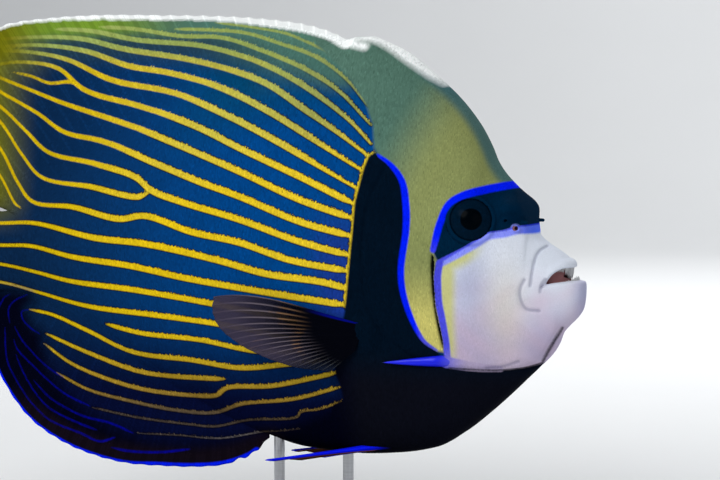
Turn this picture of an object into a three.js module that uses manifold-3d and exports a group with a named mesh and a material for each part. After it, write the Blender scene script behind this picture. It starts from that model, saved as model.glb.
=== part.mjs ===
// Adult emperor angelfish, life size, as a still model on a plain display stand.
// Millimetres, +Z up. The fish faces +X and its right side is -Y. The origin is the centre of the
// base's underside. Places on the fish are given as s, the distance behind the snout, and z, the
// height over the mouth, because that is how a fish is measured.
import * as THREE from "three";
import { mergeVertices } from "three/addons/utils/BufferGeometryUtils.js";
import Module from "manifold-3d";

const wasm = await Module();
wasm.setup();

// Driving dimensions
const SNOUT_X = 135; // the snout's tip, ahead of the stand's centre
const MOUTH_Z = 134; // the mouth's height over the floor
const TAIL_SPLIT = 280.5; // the tail root's front, just behind the dorsal and anal fins
const SPLIT = 0.3; // the gap between two pieces that touch
const CLEAR = 0.38; // how far a root is cut back from the flesh, measured along an axis
const BLEND = 5; // how deep a fin's root is sunk before it is cut

// Outlines of the fish without its fins: [s, z]
const BACK = [
  [0, 3], [2.9, 7], [4.6, 9.4], [6.3, 11.6], [8.4, 13.9], [12.2, 16.6], [16.4, 19.2], [21, 22.6],
  [23.2, 26], [24, 31], [25.6, 36.2], [28.8, 41], [32.9, 45.4], [38.3, 51.6], [42, 57.3], [44.9, 64],
  [49.4, 72.3], [59.1, 84.4], [70.4, 94.6], [82.9, 104.4], [93.6, 109.4], [98.5, 111.2], [105, 111.1],
  [112, 109.9], [135, 107], [160, 100], [190, 86], [220, 67], [250, 46.5], [278, 32.5], [291, 29.8],
  [305, 30.5],
];
const BELLY = [
  [0, -4], [1.3, -9.7], [3.8, -13.4], [7.2, -16.8], [9.9, -20], [12, -25], [15, -29.8], [21.2, -36],
  [42.5, -56], [55, -66], [67, -73], [84, -76.5], [105, -78], [130, -76.5], [155, -70], [190, -55],
  [220, -38.5], [250, -22], [278, -9.8], [291, -8.8], [305, -9.5],
];
// The widest level, the half width there, and how full the section is above and below it
const LEVEL = [[0, 0], [20, -2], [46, 10], [100, 14], [200, 14], [305, 11]];
const HALF_WIDTH = [
  [0, 3.2], [2, 7], [5, 9.6], [10, 12], [16, 14.2], [24, 16.8], [34, 20.5], [46, 24],
  [62, 27], [80, 28.8], [100, 29.6], [125, 29], [150, 27], [180, 23], [210, 18.4],
  [240, 13.4], [270, 9.2], [290, 7.2], [305, 3],
];
const FULL_ABOVE = [
  [0, 2], [15, 2.2], [24, 2.6], [30, 2.5], [38, 2.1], [46, 2.2], [62, 2.1], [90, 1.8], [140, 1.6],
  [260, 1.5], [305, 2],
];
const FULL_BELOW = [[0, 2.2], [20, 2.4], [45, 2.5], [80, 2.3], [120, 2], [170, 1.7], [260, 1.6], [305, 2]];
// Gentle swellings of the flank: place, how far they rise, and their reach along s and z
const SWELLINGS = [
  { s: 27.2, z: 35.4, rise: 9, reachS: 7.5, reachZ: 5 }, // brow
  { s: 47, z: 30, rise: 1.6, reachS: 13, reachZ: 13 }, // round the eye
  { s: 44, z: -10, rise: 1.6, reachS: 14, reachZ: 15 }, // cheek
  { s: 78, z: 4, rise: 1.2, reachS: 13, reachZ: 24 }, // gill cover
];

// Sections close together on the head and wider apart on the trunk: [number, s]
const SECTIONS = [[0, 0.3], [18, 62], [25, 110], [40, 305]];
const RING_SIDE = 15; // steps from belly to back on one side

// The smooth curve through [x, y] points that never overshoots between them
function through(points) {
  const n = points.length;
  const slope = [];
  for (let i = 0; i < n - 1; i++) {
    slope.push((points[i + 1][1] - points[i][1]) / (points[i + 1][0] - points[i][0]));
  }
  const tangent = points.map((_, i) => {
    if (i === 0) return slope[0];
    if (i === n - 1) return slope[n - 2];
    return slope[i - 1] * slope[i] <= 0 ? 0 : (2 * slope[i - 1] * slope[i]) / (slope[i - 1] + slope[i]);
  });
  return (x) => {
    let i = 0;
    while (i < n - 2 && x > points[i + 1][0]) i++;
    const span = points[i + 1][0] - points[i][0];
    const t = Math.min(1, Math.max(0, (x - points[i][0]) / span));
    const h = t * t * (3 - 2 * t);
    const rise = t * (1 - t) * (1 - t) * span * tangent[i] - t * t * (1 - t) * span * tangent[i + 1];
    return points[i][1] * (1 - h) + points[i + 1][1] * h + rise;
  };
}
const back = through(BACK);
const belly = through(BELLY);
const level = through(LEVEL);
const halfWidth = through(HALF_WIDTH);
const fullAbove = through(FULL_ABOVE);
const fullBelow = through(FULL_BELOW);
const section = through(SECTIONS);
const LAST_SECTION = SECTIONS[SECTIONS.length - 1][0];

// A point of the fish in the part's frame
const at = (s, y, z) => new THREE.Vector3(SNOUT_X - s, y, MOUTH_Z + z);

// The flesh's half thickness at s and z, 0 on its outline. grow is an even extra layer.
function flank(s, z, grow = 0) {
  const top = back(s) + grow;
  const bottom = belly(s) - grow;
  const mid = level(s);
  const share = z > mid ? (z - mid) / (top - mid) : (mid - z) / (mid - bottom);
  const full = z > mid ? fullAbove(s) : fullBelow(s);
  const y = (halfWidth(s) + grow) * Math.pow(Math.max(0, 1 - Math.pow(share, full)), 1 / full);
  const bump = (w) => w.rise * Math.exp(-(((s - w.s) / w.reachS) ** 2) - ((z - w.z) / w.reachZ) ** 2);
  return y + Math.min(1, y / 6) * SWELLINGS.reduce((sum, w) => sum + bump(w), 0);
}

// The flank's outward direction at s and z, on the side where y has that sign
function outward(s, z, side) {
  const step = 1.5;
  const alongS = (flank(s + step, z) - flank(s - step, z)) / (2 * step);
  const alongZ = (flank(s, z + step) - flank(s, z - step)) / (2 * step);
  return new THREE.Vector3(alongS, side, -alongZ).normalize();
}

// Turns a closed geometry into a solid, facing out
function solid(geometry) {
  const bare = geometry.index ? geometry.toNonIndexed() : geometry.clone();
  bare.deleteAttribute("normal");
  bare.deleteAttribute("uv");
  const merged = mergeVertices(bare, 1e-4);
  const vertProperties = new Float32Array(merged.getAttribute("position").array);
  const triVerts = new Uint32Array(merged.index.array);
  const made = new wasm.Manifold(new wasm.Mesh({ numProp: 3, vertProperties, triVerts }));
  if (made.volume() > 0) return made;
  for (let i = 0; i < triVerts.length; i += 3) {
    [triVerts[i + 1], triVerts[i + 2]] = [triVerts[i + 2], triVerts[i + 1]];
  }
  return new wasm.Manifold(new wasm.Mesh({ numProp: 3, vertProperties, triVerts }));
}

// A closed body through rings of points, its two ends closed by fans
function loft(rings) {
  const count = rings[0].length;
  const points = rings.flat();
  const faces = [];
  for (let r = 0; r < rings.length - 1; r++) {
    for (let k = 0; k < count; k++) {
      const a = r * count + k;
      const b = r * count + ((k + 1) % count);
      const c = b + count;
      const d = a + count;
      const across = points[a].distanceTo(points[c]) > points[b].distanceTo(points[d]);
      faces.push(...(across ? [a, b, d, b, c, d] : [a, b, c, a, c, d]));
    }
  }
  for (const r of [0, rings.length - 1]) {
    const centre = rings[r].reduce((sum, p) => sum.add(p), new THREE.Vector3()).divideScalar(count);
    points.push(centre);
    for (let k = 0; k < count; k++) {
      const a = r * count + k;
      const b = r * count + ((k + 1) % count);
      faces.push(...(r === 0 ? [b, a] : [a, b]), points.length - 1);
    }
  }
  return solid(new THREE.BufferGeometry().setFromPoints(points).setIndex(faces));
}

// The whole body without fins, from the snout to the root of the tail fin
function flesh(grow) {
  const rings = [];
  for (let r = 0; r <= LAST_SECTION; r++) {
    const s = section(r);
    const top = back(s) + grow;
    const bottom = belly(s) - grow;
    const ring = [];
    for (let k = 0; k < 2 * RING_SIDE; k++) {
      const z = bottom + ((top - bottom) * (1 - Math.cos((Math.PI * k) / RING_SIDE))) / 2;
      const edge = k % RING_SIDE === 0;
      const y = edge ? 0 : flank(s, z, grow) * (k < RING_SIDE ? -1 : 1);
      ring.push(at(s + (r === 0 ? -grow : r === LAST_SECTION ? grow : 0), y, z));
    }
    rings.push(ring);
  }
  return loft(rings);
}

// A smooth line through [s, z] places, as Vector2 in the part's X and Z
function smoothLine(places, steps) {
  const knots = places.map(([s, z]) => new THREE.Vector2(SNOUT_X - s, MOUTH_Z + z));
  return new THREE.SplineCurve(knots).getPoints(steps);
}

// The line moved sideways by a distance; a closed one grows by it when it runs anticlockwise
function moved(line, distance, closed) {
  const n = line.length;
  return line.map((p, i) => {
    const before = line[closed ? (i + n - 1) % n : Math.max(0, i - 1)];
    const after = line[closed ? (i + 1) % n : Math.min(n - 1, i + 1)];
    const along = after.clone().sub(before).normalize();
    return new THREE.Vector2(p.x + along.y * distance, p.y - along.x * distance);
  });
}

// A flat outline in X and Z, drawn out from y = from to y = to
function prism(outline, from, to) {
  const settings = { depth: to - from, bevelEnabled: false };
  const geometry = new THREE.ExtrudeGeometry(new THREE.Shape(outline), settings);
  return solid(geometry.rotateX(Math.PI / 2).translate(0, to, 0));
}

const WIDE = 60; // further out than any flank

// A thin wall along a smooth line, as a saw cut through the body
function sawCut(places, steps = 26) {
  const line = smoothLine(places, steps);
  const outline = [...moved(line, SPLIT / 2, false), ...moved(line, -SPLIT / 2, false).reverse()];
  return prism(outline, -WIDE, WIDE);
}

// The pieces of a solid, largest first
const pieces = (body) => body.decompose().sort((a, b) => b.volume() - a.volume());
const largest = (body) => pieces(body)[0];

// An ellipsoid with its short axis along a direction
function lens(centre, direction, radius, depth, around = 18, rows = 9) {
  const turn = new THREE.Quaternion().setFromUnitVectors(new THREE.Vector3(0, 1, 0), direction);
  const geometry = new THREE.SphereGeometry(1, around, rows).scale(radius, depth, radius);
  return solid(geometry.applyQuaternion(turn).translate(...centre.toArray()));
}

// Eyes: round in side view, set flush in the flank so that only the front of the ball shows
const EYE = { s: 45.4, z: 30.2, radius: 11.2, depth: 7.5, proud: 3.1, ring: 9.8, rim: 1.1 };

function eyeCentre(side) {
  const surface = at(EYE.s, side * flank(EYE.s, EYE.z), EYE.z);
  return surface.addScaledVector(outward(EYE.s, EYE.z, side), EYE.proud - EYE.depth);
}

const eyeBall = (side) => lens(eyeCentre(side), outward(EYE.s, EYE.z, side), EYE.radius, EYE.depth);

function eyeSocket(side) {
  const grown = EYE.radius + SPLIT;
  return lens(eyeCentre(side), outward(EYE.s, EYE.z, side), grown, EYE.depth + SPLIT);
}

// The raised rim of skin round the eye
function eyeRim(side) {
  const direction = outward(EYE.s, EYE.z, side);
  const turn = new THREE.Quaternion().setFromUnitVectors(new THREE.Vector3(0, 0, 1), direction);
  const place = at(EYE.s, side * flank(EYE.s, EYE.z), EYE.z).addScaledVector(direction, -0.3);
  const ring = new THREE.TorusGeometry(EYE.ring, EYE.rim, 6, 24);
  return solid(ring.applyQuaternion(turn).translate(...place.toArray()));
}

// Two nostrils on each side, ahead of the eye
const NOSTRILS = [
  { s: 27.6, z: 26.4, radius: 1.1 },
  { s: 31.4, z: 29.8, radius: 0.9 },
];
const NOSTRIL_DEPTH = 1.6;

function nostril({ s, z, radius }, side) {
  const centre = at(s, side * flank(s, z), z);
  return lens(centre, outward(s, z, side), radius, NOSTRIL_DEPTH, 8, 5);
}

// The open mouth. Its corner lies at the same place on both sides.
const MOUTH = { cornerS: 17, halfWidth: 12.3, upperFrontS: 5, lowerFrontS: 2.2, startS: -6 };
const upperLine = through([
  [-6, 8.6], [3, 8.9], [5, 9.4], [7.4, 9.4], [9.5, 8.7], [10.8, 8], [12.5, 6.7], [14.1, 4.9],
  [15.6, 2.6], [17, 0.8],
]);
const lowerLine = through([
  [-6, 2.8], [0, 2.8], [3.1, 2.8], [6.8, 2.5], [10, 2.2], [12.8, 1.8], [14.8, 1], [17, 0.4],
]);
const THROAT = { s: 15.5, z: 3, long: 9, halfWidth: 8.5, halfHigh: 3.6 };

function mouthGap() {
  const upper = [];
  const lower = [];
  for (let k = 0; k <= 10; k++) {
    const s = MOUTH.startS + ((MOUTH.cornerS - MOUTH.startS) * k) / 10;
    upper.push(new THREE.Vector2(SNOUT_X - s, MOUTH_Z + upperLine(s)));
    lower.push(new THREE.Vector2(SNOUT_X - s, MOUTH_Z + lowerLine(s)));
  }
  const gape = prism([...upper, ...lower.reverse()], -WIDE, WIDE);
  const throat = new THREE.SphereGeometry(1, 14, 8).scale(THROAT.long, THROAT.halfWidth, THROAT.halfHigh);
  return gape.add(solid(throat.translate(...at(THROAT.s, 0, THROAT.z).toArray())));
}

// The room on one side of the middle of the gape: 1 is above it and -1 below
function mouthSide(side) {
  const outline = [];
  for (let k = 0; k <= 10; k++) {
    const s = MOUTH.startS + 4 * k;
    const middle = (upperLine(s) + lowerLine(s)) / 2;
    outline.push(new THREE.Vector2(SNOUT_X - s, MOUTH_Z + middle + (side * -SPLIT) / 2));
  }
  outline.push(new THREE.Vector2(outline[10].x, MOUTH_Z + side * 30));
  outline.push(new THREE.Vector2(outline[0].x, MOUTH_Z + side * 30));
  return prism(outline, -WIDE, WIDE);
}

// A place along a lip: turn runs from -90 degrees at the right corner to 90 at the left one
function lipPlace(turn, frontS, line, inset = 0) {
  const s = MOUTH.cornerS - (MOUTH.cornerS - frontS - inset) * Math.cos(turn);
  return at(s, (MOUTH.halfWidth - inset) * Math.sin(turn), line(s));
}

// A rounded lip, thickest in front, along the mouth's edge
const LIP_TURN = 176; // degrees that a lip reaches round the mouth

function lip(frontS, line, thick, lift) {
  const rings = [];
  for (let k = 0; k <= 16; k++) {
    const turn = THREE.MathUtils.degToRad((k / 16 - 0.5) * LIP_TURN);
    const centre = lipPlace(turn, frontS, line);
    const ahead = lipPlace(turn + 0.02, frontS, line).sub(centre).normalize();
    const side = new THREE.Vector3().crossVectors(ahead, new THREE.Vector3(0, 0, 1)).normalize();
    const radius = thick * (0.55 + 0.45 * Math.cos(turn));
    const ring = [];
    for (let a = 0; a < 7; a++) {
      const angle = (2 * a * Math.PI) / 7;
      const p = centre.clone().addScaledVector(side, radius * Math.cos(angle) - 0.35 * thick);
      ring.push(p.add(new THREE.Vector3(0, 0, radius * Math.sin(angle) + lift * radius)));
    }
    rings.push(ring);
  }
  return loft(rings);
}

// Small close-set teeth like a brush, rooted in the jaw behind the lip
const TEETH = { turn: 128, long: 3.6, shorter: 0.7, radius: 0.62, inset: 1.3, sunk: 1.7 };

function teeth(frontS, line, points, count) {
  let row = null;
  for (let k = 0; k < count; k++) {
    const turn = THREE.MathUtils.degToRad((k / (count - 1) - 0.5) * TEETH.turn);
    const length = TEETH.long - TEETH.shorter * Math.abs(turn);
    const cone = new THREE.ConeGeometry(TEETH.radius, length, 5).rotateX((points * Math.PI) / 2);
    const place = lipPlace(turn, frontS, line, TEETH.inset);
    place.z += points * (length / 2 - TEETH.sunk);
    const tooth = solid(cone.translate(...place.toArray()));
    row = row ? row.add(tooth) : tooth;
  }
  return row;
}

// Where the saw cuts part the body
const GILL_LINE = [
  [99, 122], [95, 88], [91, 64], [89.5, 48], [92, 26], [92.5, 6], [88.5, -13], [79, -28],
  [66, -36], [52, -38], [38, -38.2], [24, -38.4], [12, -42],
];
const JAW_LINE = [
  [10, 34], [16.8, 20], [20.4, 13], [22, 5.5], [25.6, 1.5], [26, -3], [24.6, -8.5], [20, -15],
  [12, -24], [4, -38],
];
const BETWEEN_JAWS = [[MOUTH.cornerS - 0.6, 0.75], [22, 0.2], [30, -1.2]];
const COVER_OUTLINE = [
  [104, 10], [98, 46], [76, 44], [65.5, 33], [63.9, 12], [61.6, -5], [58.4, -24], [61, -31.5], [74, -36],
  [100, -30],
];
const COVER_THICK = 3;
const COVER_FROM_MIDDLE = 6; // a cover's block stays this far from the middle plane

// A gill cover's block: its outline on one side, down to an even depth under the skin
function coverBlock(side, grow) {
  const line = smoothLine([...COVER_OUTLINE, COVER_OUTLINE[0]], 34).slice(0, -1);
  const turns = THREE.ShapeUtils.area(line) > 0 ? 1 : -1;
  const outline = moved(line, turns * grow, true);
  const from = COVER_FROM_MIDDLE;
  const block = side < 0 ? prism(outline, -WIDE, -from) : prism(outline, from, WIDE);
  return block.subtract(flesh(-COVER_THICK - grow));
}

// The fleshy root that carries each breast fin
const ARM = { s: 94.5, z: -22, radius: 8.6, depth: 2.3 };

function arm(side, grow = 0) {
  const place = at(ARM.s, side * (flank(ARM.s, ARM.z) - 0.9), ARM.z);
  return lens(place, outward(ARM.s, ARM.z, side), ARM.radius + grow, ARM.depth + grow, 16, 8);
}

// A fin is a thin membrane between a root line and a margin, with rays raised in both faces.
// root and edge give the two lines for u from 0 to 1, and v runs from one to the other. half is the
// half thickness, ridge the rays' height over it, drift a bend sideways and bow a bend upwards.
function fin(shape) {
  const none = () => 0;
  const { rays, rows, root, edge, normal, half, ridge, drift = none, notch = none, bow = none } = shape;
  const columns = 2 * rays - 1;
  const faces = [];
  const points = [];
  const index = (i, j, face) => (i * (rows + 1) + j) * 2 + face;
  for (let i = 0; i < columns; i++) {
    const u = i / (columns - 1);
    const crest = i % 2 === 0 ? 1 : 0;
    for (let j = 0; j <= rows; j++) {
      const v = j / rows;
      const reach = v * (1 - notch(u) * (1 - crest) * v);
      const centre = root(u).lerp(edge(u), reach).addScaledVector(normal, drift(u, v));
      centre.z += bow(u, v);
      const thick = half(u, v) + crest * ridge(u, v);
      points.push(centre.clone().addScaledVector(normal, thick), centre.addScaledVector(normal, -thick));
    }
  }
  const quad = (a, b, c, d) => faces.push(a, b, c, a, c, d);
  for (let i = 0; i < columns - 1; i++) {
    for (let j = 0; j < rows; j++) {
      const corners = [[i, j], [i + 1, j], [i + 1, j + 1], [i, j + 1]];
      const [a, b, c, d] = corners.map(([p, q]) => index(p, q, 0));
      faces.push(a, b, c, a, c, d, a + 1, c + 1, b + 1, a + 1, d + 1, c + 1);
    }
    quad(index(i, 0, 1), index(i + 1, 0, 1), index(i + 1, 0, 0), index(i, 0, 0));
    quad(index(i, rows, 0), index(i + 1, rows, 0), index(i + 1, rows, 1), index(i, rows, 1));
  }
  for (let j = 0; j < rows; j++) {
    const last = columns - 1;
    quad(index(0, j, 0), index(0, j + 1, 0), index(0, j + 1, 1), index(0, j, 1));
    quad(index(last, j, 1), index(last, j + 1, 1), index(last, j + 1, 0), index(last, j, 0));
  }
  return solid(new THREE.BufferGeometry().setFromPoints(points).setIndex(faces));
}

// A margin through [s, z] places in the middle plane, read by its share of the whole length
function margin(places) {
  const knots = places.map(([s, z]) => at(s, 0, z));
  const curve = new THREE.CatmullRomCurve3(knots, false, "centripetal");
  return (share) => curve.getPointAt(Math.min(1, Math.max(0, share)));
}

const ACROSS = new THREE.Vector3(0, 1, 0);
const MEMBRANE = 0.42; // half the thickness of a membrane between its rays
const RAY = 0.34; // how far a ray is raised over the membrane, on each face

// Thick and fleshy at the root, thin at the margin
const taper = (rootHalf, fall) => (u, v) => MEMBRANE + (rootHalf - MEMBRANE) * Math.pow(1 - v, fall);

// Dorsal fin: 14 spines with a notched membrane between them, then 19 soft rays
const DORSAL = { rays: 33, spines: 14, frontS: 110, rearS: 279 };
const dorsalEdge = margin([
  [110, 109.6], [121, 114.4], [135, 118], [160, 121], [185, 122.4], [210, 123], [236, 123.5], [263, 122.6],
  [288, 119.8], [305, 112.5], [316, 99], [320, 81], [317, 61], [308.5, 43], [296, 33.5], [283, 33],
]);
const dorsalFan = through([
  [0, 0], [0.25, 0.17], [0.5, 0.38], [0.75, 0.585], [0.9, 0.73], [0.96, 0.86], [1, 1],
]);

function dorsalFin() {
  const rootAt = (u) => DORSAL.frontS + (DORSAL.rearS - DORSAL.frontS) * u;
  return fin({
    rays: DORSAL.rays,
    rows: 5,
    root: (u) => at(rootAt(u), 0, back(rootAt(u)) - BLEND),
    edge: (u) => dorsalEdge(dorsalFan(u)),
    normal: ACROSS,
    half: taper(3.4, 2.2),
    ridge: (u, v) => RAY * (1 - 0.6 * v),
    notch: (u) => (u < DORSAL.spines / DORSAL.rays ? 0.03 * (1 - u) : 0.006),
    drift: (u, v) => 1.6 * v * v * Math.sin(9 * u) * u,
  });
}

// Anal fin: 3 spines, then 20 soft rays, in one round lobe
const ANAL = { rays: 23, spines: 3, frontS: 151, rearS: 278 };
const analEdge = margin([
  [150, -73.5], [158, -81.5], [172, -87.2], [187, -89.3], [205, -89.8], [224, -89.4], [240, -86.6],
  [256, -81.5], [274, -71.6], [286.5, -58.5], [295.5, -43], [299, -29], [298, -15], [292, -6.5],
  [283, -5.5],
]);
const analFan = through([[0, 0], [0.15, 0.12], [0.5, 0.42], [0.75, 0.62], [0.9, 0.78], [1, 1]]);

function analFin() {
  const rootAt = (u) => ANAL.frontS + (ANAL.rearS - ANAL.frontS) * u;
  return fin({
    rays: ANAL.rays,
    rows: 5,
    root: (u) => at(rootAt(u), 0, belly(rootAt(u)) + BLEND),
    edge: (u) => analEdge(analFan(u)),
    normal: ACROSS,
    half: taper(3.2, 2),
    ridge: (u, v) => RAY * (1 - 0.6 * v),
    notch: (u) => (u < ANAL.spines / ANAL.rays ? 0.04 : 0.006),
    drift: (u, v) => 1.3 * v * v * Math.sin(7 * u + 1) * u,
  });
}

// Tail fin: 17 rays that fan out from the end of the flesh to a round margin
const TAIL = { rays: 17, rootS: 299, rootLow: -6.5, rootHigh: 27.5 };
const tailEdge = margin([
  [309, 33.5], [324, 42], [341, 48], [352, 43.5], [359.5, 29.5], [363, 10.5], [359.5, -8.5], [352, -22.5],
  [341, -27], [324, -21], [309, -12.5],
]);

function tailFin() {
  return fin({
    rays: TAIL.rays,
    rows: 5,
    root: (u) => at(TAIL.rootS, 0, TAIL.rootHigh + (TAIL.rootLow - TAIL.rootHigh) * u),
    edge: (u) => tailEdge(u),
    normal: ACROSS,
    half: taper(2.6, 1.6),
    ridge: (u, v) => RAY * (1 - 0.5 * v),
    drift: (u, v) => 1.5 * v * v * Math.sin(5 * u),
  });
}

// Breast fin: rays that fan back from the arm, held a little off the flank. Its margin is given
// in side view from the leading ray's tip round to the last ray.
const BREAST = { rays: 15, frontS: 92.5, frontZ: -16.5, rearS: 97.5, rearZ: -28.5, flare: 15, sunk: 1 };
const breastEdge = margin([
  [158, -4.6], [158.6, -10.5], [156.5, -17], [149.5, -24], [137, -31], [122, -36], [108, -37.5],
]);

function breastFin(side) {
  const flare = Math.tan((BREAST.flare * Math.PI) / 180);
  const rootY = flank(ARM.s, ARM.z) - BREAST.sunk;
  const lift = (p) => p.setY(side * (rootY + (SNOUT_X - BREAST.frontS - p.x) * flare));
  const front = at(BREAST.frontS, 0, BREAST.frontZ);
  const rear = at(BREAST.rearS, 0, BREAST.rearZ);
  return fin({
    rays: BREAST.rays,
    rows: 5,
    root: (u) => lift(front.clone().lerp(rear, u)),
    edge: (u) => lift(breastEdge(u)),
    normal: new THREE.Vector3(flare, side, 0).normalize(),
    half: taper(1.5, 3),
    ridge: (u, v) => RAY * (1 - 0.5 * v),
    notch: () => 0.02,
    drift: (u, v) => 2.4 * v * v - 1.5 * v * u,
    bow: (u, v) => 24 * v * v * (1 - v) * Math.pow(1 - u, 1.5),
  });
}

// Belly fin: a spine and five rays, folded back under the belly
const BELLY_FIN = {
  rays: 6,
  rows: 7,
  rootOuter: [83, 9, -71.5],
  rootInner: [89, 4.6, -73.5],
  tipOuter: [146, 16, -81.5],
  tipInner: [126, 8.4, -81],
};

function bellyFin(side) {
  const place = ([s, y, z]) => at(s, side * y, z);
  const outer = place(BELLY_FIN.tipOuter).sub(place(BELLY_FIN.rootOuter));
  const acrossRoot = place(BELLY_FIN.rootInner).sub(place(BELLY_FIN.rootOuter));
  const normal = new THREE.Vector3().crossVectors(outer, acrossRoot).normalize();
  return fin({
    rays: BELLY_FIN.rays,
    rows: BELLY_FIN.rows,
    root: (u) => place(BELLY_FIN.rootOuter).lerp(place(BELLY_FIN.rootInner), u),
    edge: (u) => {
      const tip = place(BELLY_FIN.tipOuter).lerp(place(BELLY_FIN.tipInner), u);
      return tip.addScaledVector(outer.clone().normalize(), -9 * Math.pow(Math.abs(u - 0.2), 2));
    },
    normal,
    half: taper(1.7, 2.4),
    ridge: (u, v) => RAY * (1 - 0.4 * v) + (u === 0 ? 0.35 * (1 - v) : 0),
    notch: () => 0.02,
  });
}

// The strong spine at the lower corner of the cheek
const CHEEK_SPINE = {
  rootS: 55,
  tipS: 84.5,
  rootZ: -31.4,
  tipZ: -33,
  thick: 1.9,
  deep: 2.8,
  off: 0.2,
  lean: 2.6,
};

function cheekSpine(side) {
  const rings = [];
  for (let k = 0; k <= 8; k++) {
    const v = k / 8;
    const s = CHEEK_SPINE.rootS + (CHEEK_SPINE.tipS - CHEEK_SPINE.rootS) * v;
    const z = CHEEK_SPINE.rootZ + (CHEEK_SPINE.tipZ - CHEEK_SPINE.rootZ) * v;
    const shrink = 1.04 - Math.pow(v, 1.6);
    const y = flank(s, z) + CHEEK_SPINE.off + CHEEK_SPINE.lean * v;
    const ring = [];
    for (let a = 0; a < 10; a++) {
      const angle = (a * Math.PI) / 5;
      const deep = CHEEK_SPINE.deep * shrink * Math.sin(angle);
      ring.push(at(s, side * (y + CHEEK_SPINE.thick * shrink * Math.cos(angle)), z + deep));
    }
    rings.push(ring);
  }
  return loft(rings);
}

// Stand: a flat base with rounded edges, and two thin rods up to the belly
const BASE = { long: 200, wide: 104, thick: 12, corner: 12, bevel: 1.6 };
const RODS = [{ name: "stand_rod_front", x: 24 }, { name: "stand_rod_rear", x: -10 }];
const ROD = { radius: 2.5, foot: 6.5, footHigh: 2.4, neck: 5, intoBelly: 12 };

function standBase() {
  const x = BASE.long / 2 - BASE.bevel;
  const y = BASE.wide / 2 - BASE.bevel;
  const r = BASE.corner;
  const outline = new THREE.Shape();
  outline.moveTo(-x + r, -y).lineTo(x - r, -y).absarc(x - r, -y + r, r, -Math.PI / 2, 0);
  outline.lineTo(x, y - r).absarc(x - r, y - r, r, 0, Math.PI / 2);
  outline.lineTo(-x + r, y).absarc(-x + r, y - r, r, Math.PI / 2, Math.PI);
  outline.lineTo(-x, -y + r).absarc(-x + r, -y + r, r, Math.PI, 1.5 * Math.PI);
  const geometry = new THREE.ExtrudeGeometry(outline, {
    depth: BASE.thick - 2 * BASE.bevel,
    bevelThickness: BASE.bevel,
    bevelSize: BASE.bevel,
    bevelSegments: 2,
    curveSegments: 5,
  });
  return solid(geometry.translate(0, 0, BASE.bevel));
}

function standRod(x, body) {
  const foot = BASE.thick + SPLIT;
  const top = MOUTH_Z + belly(SNOUT_X - x) + ROD.intoBelly;
  const profile = [
    [0, foot], [ROD.foot, foot], [ROD.foot, foot + ROD.footHigh], [ROD.radius + 0.8, foot + ROD.neck - 1],
    [ROD.radius, foot + ROD.neck], [ROD.radius, top], [0, top],
  ];
  const lathe = new THREE.LatheGeometry(profile.map(([r, z]) => new THREE.Vector2(r, z)), 14);
  const rod = solid(lathe.rotateX(Math.PI / 2).translate(x, 0, 0));
  const cut = pieces(rod.subtract(body.translate(0, 0, -SPLIT)));
  return cut.sort((a, b) => a.boundingBox().min[2] - b.boundingBox().min[2])[0];
}

// Colours of the main areas
function paint(color, roughness, metalness = 0) {
  return new THREE.MeshStandardMaterial({ color, roughness, metalness });
}

const MATERIALS = {
  faceSkin: paint(0x9a9a55, 0.5),
  lipSkin: paint(0xc9c9d6, 0.5),
  flankSkin: paint(0x1d4a8c, 0.5),
  backFin: paint(0x8a9a4a, 0.5),
  analFin: paint(0x101a50, 0.5),
  tailFin: paint(0xe2b818, 0.5),
  breastFin: paint(0x22243c, 0.45),
  bellyFin: paint(0x7a4a34, 0.5),
  spineBlue: paint(0x1028e0, 0.35),
  eye: paint(0x0a1420, 0.1),
  baseWood: paint(0x2b1d14, 0.4),
  rodSteel: paint(0xb9bcc0, 0.3, 1),
};

const fish = new THREE.Group();

function add(name, body, material) {
  const mesh = body.getMesh();
  const stride = mesh.numProp;
  const places = new Float32Array(mesh.numVert * 3);
  for (let i = 0; i < mesh.numVert; i++) {
    places.set(mesh.vertProperties.subarray(i * stride, i * stride + 3), i * 3);
  }
  const geometry = new THREE.BufferGeometry();
  geometry.setAttribute("position", new THREE.BufferAttribute(places, 3));
  geometry.setIndex(new THREE.BufferAttribute(new Uint32Array(mesh.triVerts), 1));
  geometry.computeVertexNormals();
  const made = new THREE.Mesh(geometry, material);
  made.name = name;
  fish.add(made);
}

// The body, whole, and then parted by saw cuts
const SIDES = [["right", -1], ["left", 1]];
const skin = flesh(0);
const cutter = flesh(CLEAR);
let body = skin;
for (const [, side] of SIDES) {
  body = body.add(arm(side)).add(eyeRim(side)).subtract(eyeSocket(side));
  for (const place of NOSTRILS) body = body.subtract(nostril(place, side));
}
body = body.subtract(mouthGap());

const [trunkAndTail, headAll] = pieces(body.subtract(sawCut(GILL_LINE, 40)));
const [trunk, tailRoot] = pieces(trunkAndTail.subtract(sawCut([[TAIL_SPLIT, 60], [TAIL_SPLIT, -40]], 1)));
let face = headAll;
for (const [name, side] of SIDES) {
  const cover = headAll.intersect(coverBlock(side, -SPLIT / 2));
  add("gill_cover_" + name, largest(cover), MATERIALS.faceSkin);
  face = face.subtract(coverBlock(side, SPLIT / 2));
}
const [head, muzzle] = pieces(face.subtract(sawCut(JAW_LINE)));
const jaws = pieces(muzzle.subtract(sawCut(BETWEEN_JAWS, 4)));
const byHeight = jaws.slice(0, 2).sort((a, b) => b.boundingBox().max[2] - a.boundingBox().max[2]);
const upperLip = lip(MOUTH.upperFrontS, upperLine, 2.3, 0.3).subtract(mouthSide(-1));
const lowerLip = lip(MOUTH.lowerFrontS, lowerLine, 2.1, -0.85).subtract(mouthSide(1));
const upperJaw = byHeight[0].add(upperLip).subtract(sawCut(JAW_LINE));
const lowerJaw = byHeight[1].add(lowerLip).subtract(sawCut(JAW_LINE));

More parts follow.
